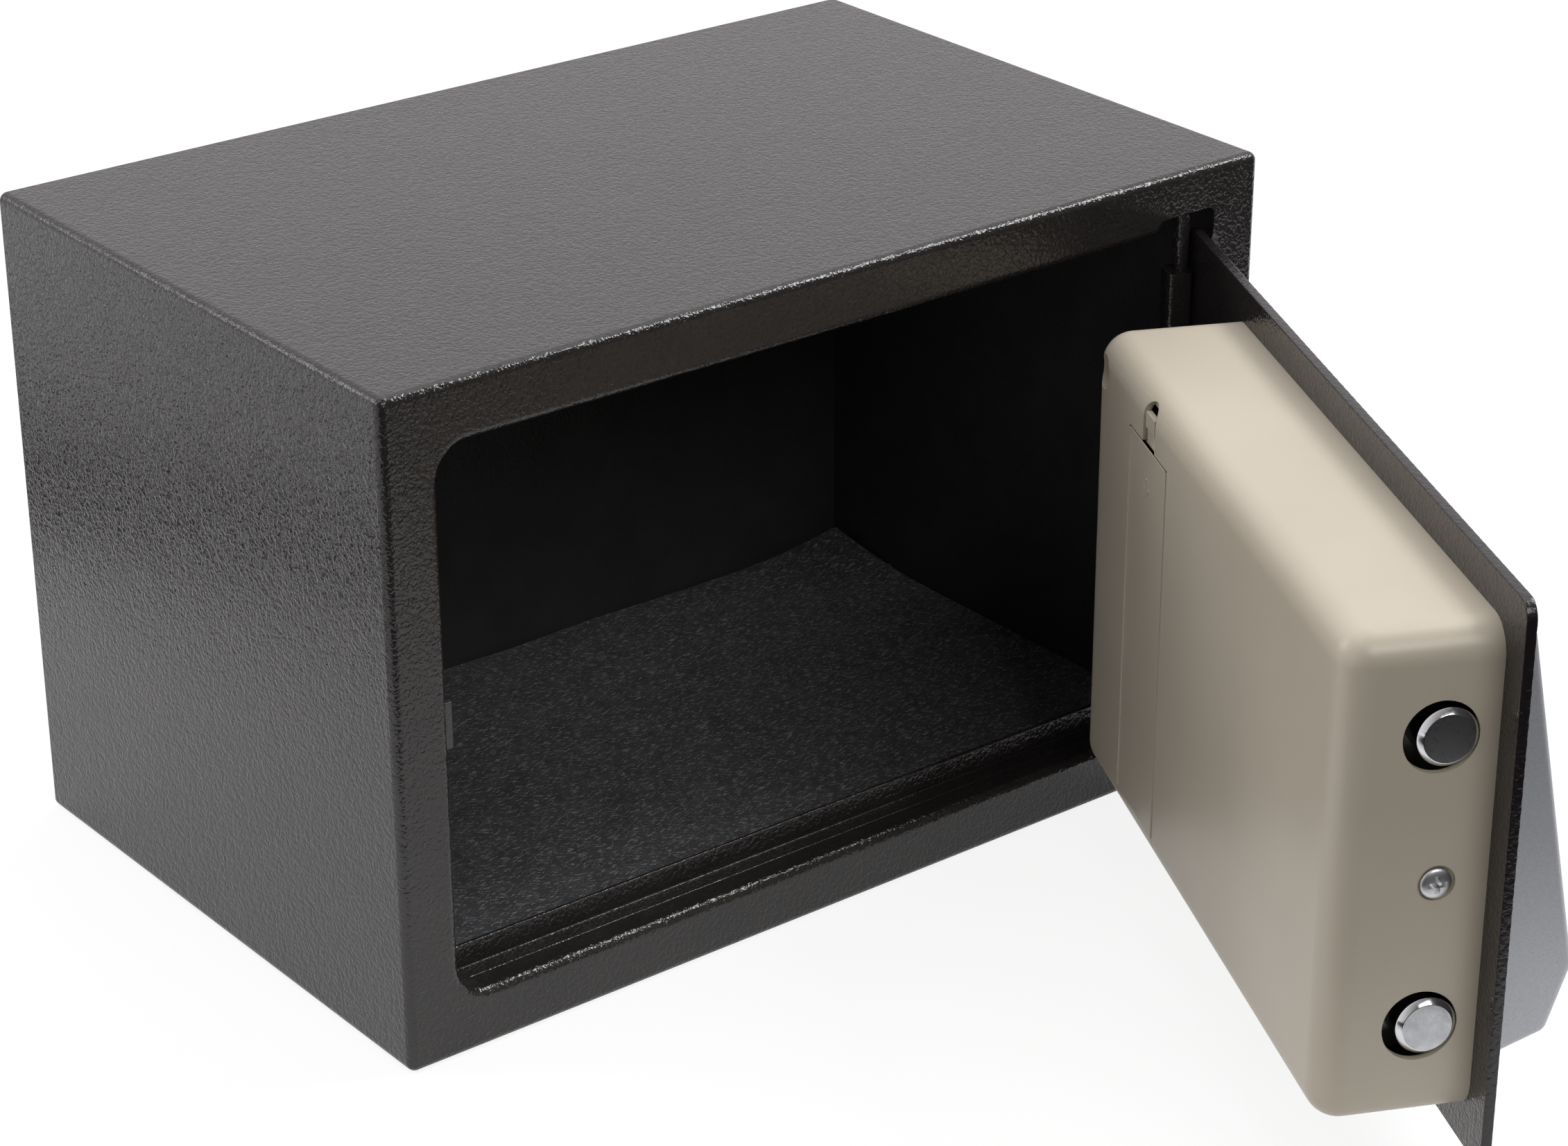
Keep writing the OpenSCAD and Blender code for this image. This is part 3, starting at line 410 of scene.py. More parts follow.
@contextmanager
def edited(mesh):
    """The mesh as a bmesh, which is written back at the end."""
    shape = bmesh.new()
    shape.from_mesh(mesh)
    yield shape
    shape.to_mesh(mesh)
    shape.free()


def outline(half_w, half_h, radius, middle=(0, 0), steps=ARC_STEPS):
    """Rounded rectangle as (across, up) points, anticlockwise."""
    points = []
    for quarter, (right, up) in enumerate(((1, 1), (-1, 1), (-1, -1), (1, -1))):
        for step in range(steps + 1):
            angle = (quarter + step / steps) * math.pi / 2
            points.append((middle[0] + right * (half_w - radius) + radius * math.cos(angle),
                           middle[1] + up * (half_h - radius) + radius * math.sin(angle)))
    return points


def upright(edge, y):
    """An outline as a ring that stands at a depth."""
    return [(across, y, up) for across, up in edge]


def level(edge, z):
    """An outline as a ring that lies at a height."""
    return [(x, y, z) for x, y in edge]


def circle(radius, steps):
    return [(radius * math.cos(a), radius * math.sin(a)) for a in (i * math.tau / steps for i in range(steps))]


def quarter_arc(steps=6):
    """(1 - cos, sin) pairs from 0 to a quarter turn."""
    return [(1 - math.cos(a), math.sin(a)) for a in (math.pi / 2 * i / steps for i in range(steps + 1))]


def solid(name, points, faces, place=on_body):
    mesh = bpy.data.meshes.new(name)
    mesh.from_pydata([tuple(p) for p in points], [], faces)
    with edited(mesh) as shape:
        bmesh.ops.remove_doubles(shape, verts=shape.verts, dist=1e-6)
        bmesh.ops.recalc_face_normals(shape, faces=shape.faces)
    mesh.transform(place)
    return linked(name, mesh)


def lofted(name, rings, place=on_body, closed=False):
    """Solid through rings of equally many points; closed joins the last ring to the first."""
    count, points = len(rings[0]), [p for ring in rings for p in ring]
    faces = []
    for band in range(len(rings) if closed else len(rings) - 1):
        low, high = band * count, (band + 1) % len(rings) * count
        for i in range(count):
            after = (i + 1) % count
            faces.append((low + i, low + after, high + after, high + i))
    if not closed:
        faces += [tuple(range(count)), tuple(range(len(points) - count, len(points)))]
    return solid(name, points, faces, place)


def block(name, low, high, place=on_body):
    """Box from its lowest to its highest corner."""
    corners = [(x, y, z) for x in (low[0], high[0]) for y in (low[1], high[1]) for z in (low[2], high[2])]
    sides = [(0, 1, 3, 2), (4, 6, 7, 5), (0, 4, 5, 1), (2, 3, 7, 6), (0, 2, 6, 4), (1, 5, 7, 3)]
    return solid(name, corners, sides, place)


def turned(name, profile, start, direction, place=on_body, steps=64):
    """Solid of revolution: profile is (radius, height) points from one end of the axis to the other."""
    turn = Vector(direction).to_track_quat("Z", "Y").to_matrix().to_4x4()
    return lofted(name, [level(circle(radius, steps), height) for radius, height in profile],
                  place @ Matrix.Translation(start) @ turn)


def rod(name, start, direction, radius, length, place=on_body, steps=48):
    """Cylinder from a point along a direction."""
    return turned(name, [(radius, 0), (radius, length)], start, direction, place, steps)


# %% [markdown]
# `apply` turns an object's modifiers into plain mesh, `cut` takes cutters out of it, and `soften` rounds the
# edges that are sharper than an angle. `seat` is the last step for every piece: it gives the finish and the
# shading, and hides the imported pieces it stands for. `join` adds a mark in its own finish to a seated piece.

# %% apply, cut, soften, seat and join
def plain_mesh(piece):
    """The mesh of an object with its modifiers worked out."""
    bpy.context.view_layer.update()
    return bpy.data.meshes.new_from_object(piece.evaluated_get(bpy.context.evaluated_depsgraph_get()))


def apply(piece):
    mesh = plain_mesh(piece)
    piece.modifiers.clear()
    piece.data = mesh
    return piece


def cut(piece, *cutters, how="DIFFERENCE"):
    for cutter in cutters:
        saw = piece.modifiers.new("saw", "BOOLEAN")
        saw.operation, saw.object, saw.solver = how, cutter, "EXACT"
        apply(piece)
        bpy.data.objects.remove(cutter)
    return piece


def soften(piece, width, steps=2, angle=40):
    file = piece.modifiers.new("file", "BEVEL")
    file.width, file.segments, file.limit_method = width, steps, "ANGLE"
    file.angle_limit, file.use_clamp_overlap = math.radians(angle), True
    file.miter_outer = "MITER_ARC"
    return apply(piece)


def seat(piece, finishes, body, *stands_for, slot=None, angle=35):
    piece.data.materials.clear()
    for finish in finishes if isinstance(finishes, list) else [finishes]:
        piece.data.materials.append(finish)
    piece.data.polygons.foreach_set("use_smooth", [True] * len(piece.data.polygons))
    piece.data.set_sharp_from_angle(angle=math.radians(angle))
    piece.modifiers.new("even", "WEIGHTED_NORMAL").keep_sharp = True
    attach(piece, body)
    if stands_for:
        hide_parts(*stands_for)
    slot or slot_of[stands_for[0]]
    return piece


def join(target, mark, finish):
    """Adds the mesh of mark to target, with its own finish."""
    finishes, before = target.data.materials, len(target.data.polygons)
    with edited(target.data) as shape:
        shape.from_mesh(mark.data)
    if finish.name not in finishes:
        finishes.append(finish)
    for face in target.data.polygons[before:]:
        face.material_index = finishes.find(finish.name)
    bpy.data.objects.remove(mark)
    return target


# %% [markdown]
# ## The steel body
# The body is one wrapped sheet with a front frame welded on and ground flush. Both are lofts of the same
# rounded rectangle, so each corner is an eighth of a ball. The shell starts where the frame's rounding
# ends.

# %% Body shell
shell_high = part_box("body_shell")[1]
face_low, face_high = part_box("front_frame")
half_w, half_h = shell_high.x, shell_high.z / 2
middle_z, front_y, back_y = half_h, face_low.y, shell_high.y
BEND, SHEET, REAR_ROUND, ANCHOR_R = mm(2.6, 2, 1.2, 5)


def body_ring(inset, y, radius):
    """Ring round the body at a depth, inset from its outside."""
    return upright(outline(half_w - inset, half_h - inset, max(radius, 0.02 * MM), (0, middle_z)), y)


def body_shell():
    rings = [body_ring(0, front_y + BEND, BEND)]
    rings += [body_ring(REAR_ROUND * lift, back_y - REAR_ROUND * (1 - slide), BEND - REAR_ROUND * lift)
              for lift, slide in quarter_arc(4)]
    rings += [body_ring(SHEET, back_y, 1 * MM), body_ring(SHEET, front_y + BEND, 1 * MM)]
    shell = lofted("body_shell_coated", rings, closed=True)
    for side in (-1, 1):
        at = (side * frame["record"]["mounts"][0]["dims"]["spacing_x_mm"] * MM / 2, 0, -SHEET)
        cut(shell, rod("drill", at, (0, 0, 1), ANCHOR_R, 3 * SHEET))
    return seat(shell, [coat, inner_coat_painted_light], "safe_body", "body_shell")


shell = body_shell()
for face in shell.data.polygons:
    middle = face.center
    inside = abs(middle.x) < half_w - SHEET / 2 and SHEET / 2 < middle.z < 2 * half_h - SHEET / 2
    face.material_index = 1 if inside and middle.y < back_y - 0.1 * MM else 0
print("body shell faces:", len(shell.data.polygons))

# %% [markdown]
# The front frame's section is walked once round: outside rounding, flat face, the rolled lip of the opening,
# the flange behind it, and back. Two notches in the lip beside the hinge let the door's end swing past.

# %% Front frame
FRAME_SHEET, LIP, OPEN_CORNER = mm(1.5, 3, 10)
FRAME_SIDE, FRAME_TOP = mm(17.4, 18)
NOTCH_W, NOTCH_H, NOTCH_R = mm(22.6, 5, 3)
flange_y = face_high.y
open_half_w, open_half_h = half_w - FRAME_SIDE, half_h - FRAME_TOP


def opening_ring(outset, y):
    """Ring round the opening, outset from its edge."""
    return upright(outline(open_half_w + outset, open_half_h + outset, OPEN_CORNER + outset, (0, middle_z)), y)


def front_frame():
    rings = [body_ring(BEND * lift, front_y + BEND * (1 - slide), BEND * (1 - lift))
             for lift, slide in quarter_arc()]
    rings += [opening_ring(LIP * (1 - slide), front_y + LIP * lift) for lift, slide in quarter_arc()]
    rings += [opening_ring(0, flange_y - 0.3 * MM), opening_ring(0.3 * MM, flange_y)]
    rings += [opening_ring(FRAME_SHEET, flange_y), opening_ring(FRAME_SHEET, front_y + LIP)]
    inner = LIP - FRAME_SHEET
    rings += [opening_ring(LIP - inner * slide, front_y + LIP - inner * (1 - lift))
              for lift, slide in reversed(quarter_arc(3))]
    rings += [body_ring(SHEET, front_y + FRAME_SHEET, 1 * MM), body_ring(SHEET, front_y + BEND, 1 * MM)]
    made = lofted("front_frame_coated", rings, closed=True)
    tall = NOTCH_H + OPEN_CORNER + NOTCH_R
    for low in (middle_z - open_half_h - NOTCH_H, middle_z + open_half_h - OPEN_CORNER - NOTCH_R):
        edge = outline(NOTCH_W / 2, tall / 2, NOTCH_R, (open_half_w - NOTCH_W / 2, low + tall / 2))
        cut(made, lofted("notch", [upright(edge, y) for y in (front_y - LIP, flange_y + LIP)]))
    return seat(made, coat, "safe_body", "front_frame")


front = front_frame()
print("front frame faces:", len(front.data.polygons))

# %% [markdown]
# ## Small steel parts of the body
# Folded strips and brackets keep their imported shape, but a real edge is never sharp, and its rounding catches
# a line of light. So the flat faces of a copy are joined, and its edges rounded by some tenths of a millimetre.

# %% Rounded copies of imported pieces
def rounded_copy(node, width, body, finish=None):
    copy = linked(node + "_rounded", nodes[node].data.copy())
    with edited(copy.data) as shape:
        bmesh.ops.remove_doubles(shape, verts=shape.verts, dist=2e-6)
        bmesh.ops.dissolve_limit(shape, angle_limit=math.radians(1), verts=shape.verts, edges=shape.edges)
    soften(copy, width * MM)
    return seat(copy, finish or finish_of_slot[slot_of[node]], body, node)


filed = [rounded_copy(node, width, "safe_body") for node, width in (
    ("sill_strip", 0.5), ("door_stop_tab", 0.4), ("upper_hinge_bracket", 0.4), ("lower_hinge_bracket", 0.4))]
filed.append(rounded_copy("hinge_bar", 0.5, "door", coat))
print("rounded copies:", len(filed))


# %% [markdown]
# ## The felt mat
# Cut felt does not lie perfectly flat: the back right corner curls up and the back edge wanders a little.
# The mat is a fine grid that a formula lifts, by so little that the cloth keeps its cut size.

# %% Mat
mat_low, mat_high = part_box("floor_mat")
MAT_CELLS = (96, 58)
CURL_REACH, CURL_LIFT = mm(46, 7)


def ripple(x, y):
    """Slow waves from -1 to 1."""
    return math.sin(31 * x + 1.3) * math.sin(43 * y + 0.4) * 0.6 + math.sin(67 * x - 39 * y) * 0.4


def felt_mat():
    low, size = mat_low, mat_high - mat_low
    points = []
    for j in range(MAT_CELLS[1] + 1):
        for i in range(MAT_CELLS[0] + 1):
            u, v = i / MAT_CELLS[0], j / MAT_CELLS[1]
            x, y = low.x + size.x * u, low.y + size.y * v
            pull = max(0, 1 - math.hypot(mat_high.x - x, mat_high.y - y) / CURL_REACH)
            lift = CURL_LIFT * pull ** 1.8
            wander = 0.5 * MM * math.sin(40 * x + 2) + 0.35 * MM * math.sin(97 * x)
            y -= v ** 8 * (0.9 * MM + wander) + pull ** 2 * 2.2 * MM
            x -= pull ** 2 * 2.2 * MM
            edge = min(u, 1 - u, v, 1 - v)
            z = low.z + 0.15 * MM + lift + 0.12 * MM * (1 + ripple(x, y)) * min(1, edge * 12)
            points.append((x, y, z))
    row = MAT_CELLS[0] + 1
    faces = [(j * row + i, j * row + i + 1, (j + 1) * row + i + 1, (j + 1) * row + i)
             for j in range(MAT_CELLS[1]) for i in range(MAT_CELLS[0])]
    mat = solid("felt_mat", points, faces)
    if mat.data.polygons[0].normal.z < 0:
        mat.data.flip_normals()
    thick = mat.modifiers.new("thick", "SOLIDIFY")
    thick.thickness, thick.offset = mat_high.z - mat_low.z - 0.45 * MM, 1
    apply(mat)
    soften(mat, 0.45 * MM, 2, 60)
    return seat(mat, felt, "safe_body", "floor_mat", angle=70)


mat = felt_mat()
print("mat faces:", len(mat.data.polygons))

# %% [markdown]
# ### Loose hairs
# Geometry Nodes scatter a few thousand short bent hairs over the top of the mat. Each is a curve of three
# stretches with a three-sided section, so it stays light, and the fixed seeds make them fall the same way.

# %% Hairs
HAIRS_PER_SQUARE_METRE, HAIR_LENGTH, FACING_UP = 105000, 2.4 * MM, 0.6


def hair_tree():
    tree = bpy.data.node_groups.new("felt_hairs", "GeometryNodeTree")
    for side in ("INPUT", "OUTPUT"):
        tree.interface.new_socket("Geometry", in_out=side, socket_type="NodeSocketGeometry")
    graph = Graph(tree)
    up = graph.node("ShaderNodeSeparateXYZ", {0: graph.node("GeometryNodeInputNormal")}, "Z")
    scatter = graph.node("GeometryNodeDistributePointsOnFaces",
                         {"Mesh": graph.node("NodeGroupInput"), "Selection": up > FACING_UP,
                          "Density": HAIRS_PER_SQUARE_METRE, "Seed": 7})
    line = graph.node("GeometryNodeCurveQuadraticBezier",
                      {"Resolution": 3, "Start": (-0.5, 0, 0), "Middle": (0, 0.35, 0.1), "End": (0.5, 0, 0)})
    section = graph.node("GeometryNodeCurvePrimitiveCircle", {"Resolution": 3, "Radius": 0.022})
    hair = graph.node("GeometryNodeCurveToMesh", {"Curve": line, "Profile Curve": section})
    spin = graph.node("FunctionNodeRandomValue", {0: (-0.12, -0.12, 0.0), 1: (0.12, 0.12, math.tau), "Seed": 3},
                      data_type="FLOAT_VECTOR")
    size = graph.node("FunctionNodeRandomValue", {2: 0.45, 3: 1.3, "Seed": 5}, 1)
    placed = graph.node("GeometryNodeInstanceOnPoints",
                        {"Points": scatter, "Instance": hair, "Rotation": spin, "Scale": size * HAIR_LENGTH})
    whole = graph.node("GeometryNodeRealizeInstances", {0: placed})
    painted = graph.node("GeometryNodeSetMaterial", {"Geometry": whole, "Material": fibre})
    graph.node("NodeGroupOutput", {0: painted})
    return tree


hairs = linked("felt_hairs", mat.data.copy())
hairs.modifiers.new("growth", "NODES").node_group = hair_tree()
seat(apply(hairs), fibre, "safe_body", slot="felt")
print("hair faces:", len(hairs.data.polygons))


# %% [markdown]
# ## The door plate
# The plate is laser-cut steel under a coat that only softens the fine ridges of the cut. The ridges are
# real geometry: each point of the rim moves in and out by a tiny amount.

# %% Door plate
plate_low, plate_high = local_box("door_plate")
PLATE_CORNER, PLATE_RIM, RIM_ROUND, RIDGE_END, RIDGE_STEP, RIDGE_DEPTH = mm(5, 0.35, 0.1, 1.2, 0.8, 0.14)


def seen_flat(low, high):
    """Middle and half size of a box as (across, up)."""
    return [tuple((getattr(high, axis) + sign * getattr(low, axis)) / 2 for axis in "xz") for sign in (1, -1)]


plate_middle, plate_half = seen_flat(plate_low, plate_high)


def ridged_outline(seed):
    """The plate's outline in fine steps, moved in and out like a laser cut."""
    corners = outline(*plate_half, PLATE_CORNER, plate_middle)
    points = []
    for start, end in zip(corners, corners[1:] + corners[:1]):
        steps = max(1, round(math.dist(start, end) / RIDGE_STEP))
        points += [[a + (b - a) * step / steps for a, b in zip(start, end)] for step in range(steps)]
    rough = []
    for i, point in enumerate(points):
        wave = (math.sin(i * 2.4 + seed) + math.sin(i * 1.1 + 2 * seed)) / 4 + 0.5
        inward = (Vector(plate_middle) - Vector(point)).normalized() * RIDGE_DEPTH * wave
        rough.append((point[0] + inward.x, point[1] + inward.y))
    return rough


def door_plate():
    front, back = plate_low.y, plate_high.y
    rims = [(PLATE_RIM, front, 0), (RIM_ROUND, front + RIM_ROUND, 0), (0, front + PLATE_RIM, 1),
            (0, front + RIDGE_END, 1.4), (0, back - RIDGE_END, 2.6), (0, back - PLATE_RIM, 3),
            (RIM_ROUND, back - RIM_ROUND, 3.4), (PLATE_RIM, back, 4)]
    rings = []
    for inset, y, seed in rims:
        shares = [(half - inset) / half for half in plate_half]
        rings.append(upright([[middle + (value - middle) * share for value, middle, share
                               in zip(point, plate_middle, shares)] for point in ridged_outline(seed)], y))
    return seat(lofted("door_plate_coated", rings, on_door), [coat, edge_coat_painted_shade], "door", "door_plate", angle=50)


plate = door_plate()
across = on_door.to_3x3() @ Vector((0, 1, 0))
# The rim's faces take the darker copy of the coat, painted shade for the plate's end
for face in plate.data.polygons:
    face.material_index = int(abs(face.normal.dot(across)) < 0.5)
print("door plate faces:", len(plate.data.polygons))


# %% [markdown]
# ## The lock cover
# The cover is one deep moulding with large round edges, open at the door plate. It is lofted like the body,
# outside and inside, and the openings for bolts, batteries, button and screws are cut afterwards.

# %% Cover form
cover_low, cover_high = local_box("lock_cover")
COVER_ROUND, COVER_WALL = mm(9, 2)
cover_middle, cover_half = seen_flat(cover_low, cover_high)


def cover_ring(inset, y, radius):
    wide, tall = (half - inset for half in cover_half)
    return upright(outline(wide, tall, max(radius, 0.05 * MM), cover_middle, 12), y)


def cover_cup(name):
    """The moulding before its openings are cut: outside, rim and inside."""
    arcs = quarter_arc(10)
    rings = [cover_ring(COVER_ROUND * lift, cover_high.y - COVER_ROUND * (1 - slide), COVER_ROUND * (1 - lift))
             for lift, slide in reversed(arcs)]
    inner, roof = COVER_ROUND - COVER_WALL, cover_high.y - COVER_WALL
    rings += [cover_ring(0, cover_low.y, COVER_ROUND), cover_ring(COVER_WALL, cover_low.y, inner)]
    rings += [cover_ring(COVER_WALL + inner * lift, roof - inner * (1 - slide), inner * (1 - lift))
              for lift, slide in arcs]
    return lofted(name, rings, on_door)


def centre(node):
    """Middle of a CAD node in the door's own frame."""
    return sum(local_box(node), Vector()) / 2


bolt_y, button = centre("bolt_upper").y, centre("reset_button")
bolt_zs = [centre(node).z for node in ("bolt_upper", "bolt_lower")]
screw_z = sum(bolt_zs) / 2
hatch_low, hatch_high = local_box("battery_cover")
hatch_x = (hatch_low.x + hatch_high.x) / 2
BOLT_HOLE, HOLE_SHIFT, SEAT_R, SEAT_DEEP, CORE_R = mm(10, 1.6, 5, 0.8, 2)
WELL_R, WELL_WALL, WELL_DEEP, BUTTON_PIN_R = mm(5.2, 1.5, 8, 2.25)
SLOT_R, SLOT_UP, HATCH_GAP, HATCH_TOP, HATCH_DEEP = mm(5.5, 8, 0.3, 16.5, 17)
hatch_top_z = cover_high.z - HATCH_TOP
slot_z = hatch_top_z + SLOT_UP
print("bolt holes at heights of", [round(z / MM, 1) for z in bolt_zs], "mm")

# %% [markdown]
# The reset button's well is a tube that belongs to the moulding, so it is joined on before its hole is cut.

# %% Lock cover
def hatch_box(name, gap):
    """The part of the skin that the battery cover takes, grown by a gap."""
    return block(name, (hatch_low.x - gap, cover_high.y - HATCH_DEEP - gap, cover_low.z - 1 * MM),
                 (hatch_high.x + gap, cover_high.y + 1 * MM, hatch_top_z + gap), on_door)


def finger_slot():
    """Cutter with a round top, for the slot that the battery cover's catch sits in."""
    edge = [(hatch_x + x, slot_z + z) for x, z in circle(SLOT_R, 32)[:17]]
    edge += [(hatch_x - SLOT_R, hatch_top_z - 1 * MM), (hatch_x + SLOT_R, hatch_top_z - 1 * MM)]
    depths = (cover_high.y - COVER_WALL - 1 * MM, cover_high.y + 1 * MM)
    return lofted("slot", [upright(edge, y) for y in depths], on_door)


def lock_cover():
    cover = cover_cup("lock_cover_moulded")
    well_y, outside = cover_high.y - WELL_DEEP, cover_low.x - 1 * MM
    inwards, along = (0, 1, 0), (1, 0, 0)
    cut(cover, rod("tube", (button.x, well_y - COVER_WALL, button.z), inwards, WELL_R + WELL_WALL,
                   WELL_DEEP - 0.2 * MM, on_door), how="UNION")
    bores = [((button.x, well_y, button.z), inwards, WELL_R, WELL_DEEP + 1 * MM),
             ((button.x, well_y - 3 * MM, button.z), inwards, BUTTON_PIN_R, 5 * MM),
             ((outside, bolt_y, screw_z), along, SEAT_R, 1 * MM + SEAT_DEEP),
             ((outside, bolt_y, screw_z), along, CORE_R, 5 * MM),
             ((cover_high.x - SEAT_DEEP, bolt_y, screw_z), along, SEAT_R, 2 * MM),
             ((cover_high.x - 3 * MM, bolt_y, screw_z), along, CORE_R, 5 * MM)]
    bolt_holes = [rod("bolt", (outside, bolt_y + HOLE_SHIFT, z), along, BOLT_HOLE, 5 * MM, on_door, 64)
                  for z in bolt_zs]
    cut(cover, hatch_box("hatch", HATCH_GAP), finger_slot(), *[rod("bore", *bore, on_door) for bore in bores],
        *bolt_holes)
    return seat(cover, cream, "door", "lock_cover")


cover = lock_cover()
print("lock cover faces:", len(cover.data.polygons))


# %% [markdown]
# ## The battery cover
# It is cut from the same form as the cover: the overlap of the moulding and the compartment's box. A catch
# stands in the finger slot, and a raised arrow shows which way it slides.

# %% Battery cover
ARROW_TALL, ARROW_WIDE, ARROW_DROP, RAISED = mm(5.5, 4.5, 12, 0.3)
FINGER, BEAD = mm(4, 0.7)


def arrow():
    """Raised arrow on the cover's face, pointing down."""
    stem, tip = ARROW_WIDE * 0.14, -ARROW_TALL / 2
    head = tip + ARROW_WIDE * 0.6
    right = [(ARROW_WIDE / 2, head), (stem, head), (stem, -tip)]
    edge = [(hatch_x + x, hatch_top_z - ARROW_DROP + z)
            for x, z in [(0, tip)] + right + [(-x, z) for x, z in reversed(right)]]
    return lofted("arrow", [upright(edge, cover_high.y + y) for y in (-RAISED, RAISED)], on_door)


def battery_cover():
    hatch = cover_cup("battery_cover_moulded")
    cut(hatch, hatch_box("window", 0), how="INTERSECT")
    floor_y, catch_top = cover_high.y - COVER_WALL, slot_z + 1.5 * MM
    shelf = block("shelf", (hatch_x - FINGER, floor_y, hatch_top_z - 0.2 * MM),
                  (hatch_x + FINGER, floor_y + 1 * MM, catch_top), on_door)
    catch = block("catch", (hatch_x - FINGER, floor_y, slot_z - 3 * MM),
                  (hatch_x + FINGER, cover_high.y - 0.3 * MM, catch_top), on_door)
    flat_low, (left, right) = cover_low.z + COVER_ROUND, (hatch_low.x, hatch_high.x)
    rims = [(left, hatch_top_z - BEAD, right), (left, flat_low, left + BEAD), (right - BEAD, flat_low, right)]
    beads = [block("bead", (x, cover_high.y - 1 * MM, z), (end, cover_high.y + RAISED, hatch_top_z), on_door)
             for x, z, end in rims]
    cut(hatch, shelf, catch, *beads, how="UNION")
    soften(hatch, 0.14 * MM, 2, 50)
    return join(seat(hatch, cream, "battery_door", "battery_cover"), arrow(), cream)


hatch = battery_cover()
print("battery cover faces:", len(hatch.data.polygons))

# %% [markdown]
# ## The bolts
# A locking bolt is a turned and chromed rod. Its chamfered nose is left as it was sawn, so it has its own
# duller finish. The ridges of the thread at its far end are part of the turned profile.

# %% Bolts
BOLT_R, BOLT_NOSE, STUD_R, BOLT_LEN = mm(8, 1.2, 4, 53)


def locking_bolt(name, node):
    low, high = local_box(node)
    start = (low.x, (low.y + high.y) / 2, (low.z + high.z) / 2)
    fillet = 0.25 * MM
    profile = [(AXIS, 0), (BOLT_R - BOLT_NOSE - fillet, 0), (BOLT_R - BOLT_NOSE, fillet * 0.4),
               (BOLT_R - fillet, BOLT_NOSE - fillet * 0.4), (BOLT_R, BOLT_NOSE + fillet),
               (BOLT_R, BOLT_LEN - fillet), (BOLT_R - fillet, BOLT_LEN), (STUD_R - 0.5 * MM, BOLT_LEN)]
    length, pitch = high.x - low.x, 1.25 * MM
    turns = int((length - BOLT_LEN - 0.6 * MM) / pitch)
    for k in range(turns):
        foot = BOLT_LEN + 0.2 * MM + k * pitch
        profile += [(STUD_R - 0.5 * MM, foot), (STUD_R, foot + pitch * 0.4), (STUD_R, foot + pitch * 0.6)]
    profile += [(STUD_R - 0.5 * MM, length), (AXIS, length)]
    made = seat(turned(name, profile, start, (1, 0, 0), on_door), chrome, "bolt_work", node, angle=25)
    made.data.materials.append(bolt_face)
    nose = on_door @ Vector(start)
    for face in made.data.polygons:
        if (face.center - nose).length < BOLT_R and abs(face.normal.dot(bolts_point)) > 0.99:
            face.material_index = 1
    return made


bolts = [locking_bolt(f"{node}_chromed", node) for node in ("bolt_upper", "bolt_lower")]
print("bolt faces:", len(bolts[0].data.polygons))


# %% [markdown]
# ## The cover's screws
# One screw is modelled with its domed head, cross recess and thread. Its mesh is copied to each place that
# has such a screw, turned so that its core points into the cover.

# %% Screws
def put_copies(name, master, places):
    """A piece with a copy of master at each (point, direction), in the door's own frame."""
    made = linked(name, bpy.data.meshes.new(name))
    with edited(made.data) as shape:
        for point, direction in places:
            heading = on_door.to_3x3() @ Vector(direction)
            copy = master.data.copy()
            copy.transform(Matrix.Translation(on_door @ Vector(point))
                           @ heading.to_track_quat("Z", "Y").to_matrix().to_4x4())
            shape.from_mesh(copy)
    bpy.data.objects.remove(master)
    return made


def pan_screw(head_r, head_h, core_r, length):
    """A screw whose head's underside is at zero and whose core runs along +Z."""
    dome = [(head_r * math.cos(a), -head_h * 0.35 - head_h * 0.65 * math.sin(a))
            for a in (math.pi / 2 * i / 8 for i in range(9))]
    profile = [(AXIS, dome[-1][1])] + dome[::-1][1:]
    profile += [(head_r, -0.15 * MM), (head_r - 0.15 * MM, 0), (core_r, 0)]
    pitch = core_r * 0.55
    for k in range(int(length / pitch) - 1):
        foot = 0.3 * MM + k * pitch
        profile += [(core_r * 0.8, foot), (core_r, foot + pitch * 0.45)]
    profile += [(core_r * 0.7, length - pitch * 0.4), (AXIS, length)]
    screw = turned("screw", profile, (0, 0, 0), (0, 0, 1), steps=40)
    arm, wide, deep = head_r * 0.66, head_r * 0.17, head_h * 0.75
    for turn in (0, math.pi / 2):
        rings = [level([(-arm * s, -wide), (arm * s, -wide), (arm * s, wide), (-arm * s, wide)], z)
                 for s, z in ((1, -head_h - 0.2 * MM), (0.55, -head_h + deep))]
        cut(screw, lofted("cross", rings, Matrix.Rotation(turn, 4, "Z")))
    return screw


cover_screw_places = [((cover_low.x + SEAT_DEEP, bolt_y, screw_z), (1, 0, 0)),
                      ((cover_high.x - SEAT_DEEP, bolt_y, screw_z), (-1, 0, 0))]
screws = put_copies("cover_screws_zinc", pan_screw(*mm(4.3, 2, 1.9, 6.2)), cover_screw_places)
seat(screws, screw_zinc, "door", "cover_screws", angle=30)
print("cover screw faces:", len(screws.data.polygons))


# %% [markdown]
# ## The keypad's housing
# From the side the housing is a wedge that gets deeper towards the bottom and then tucks back under. It is
# rounded first, and its openings are cut afterwards so that their edges stay crisp. What stands on the
# slope is placed in `slope_frame`.

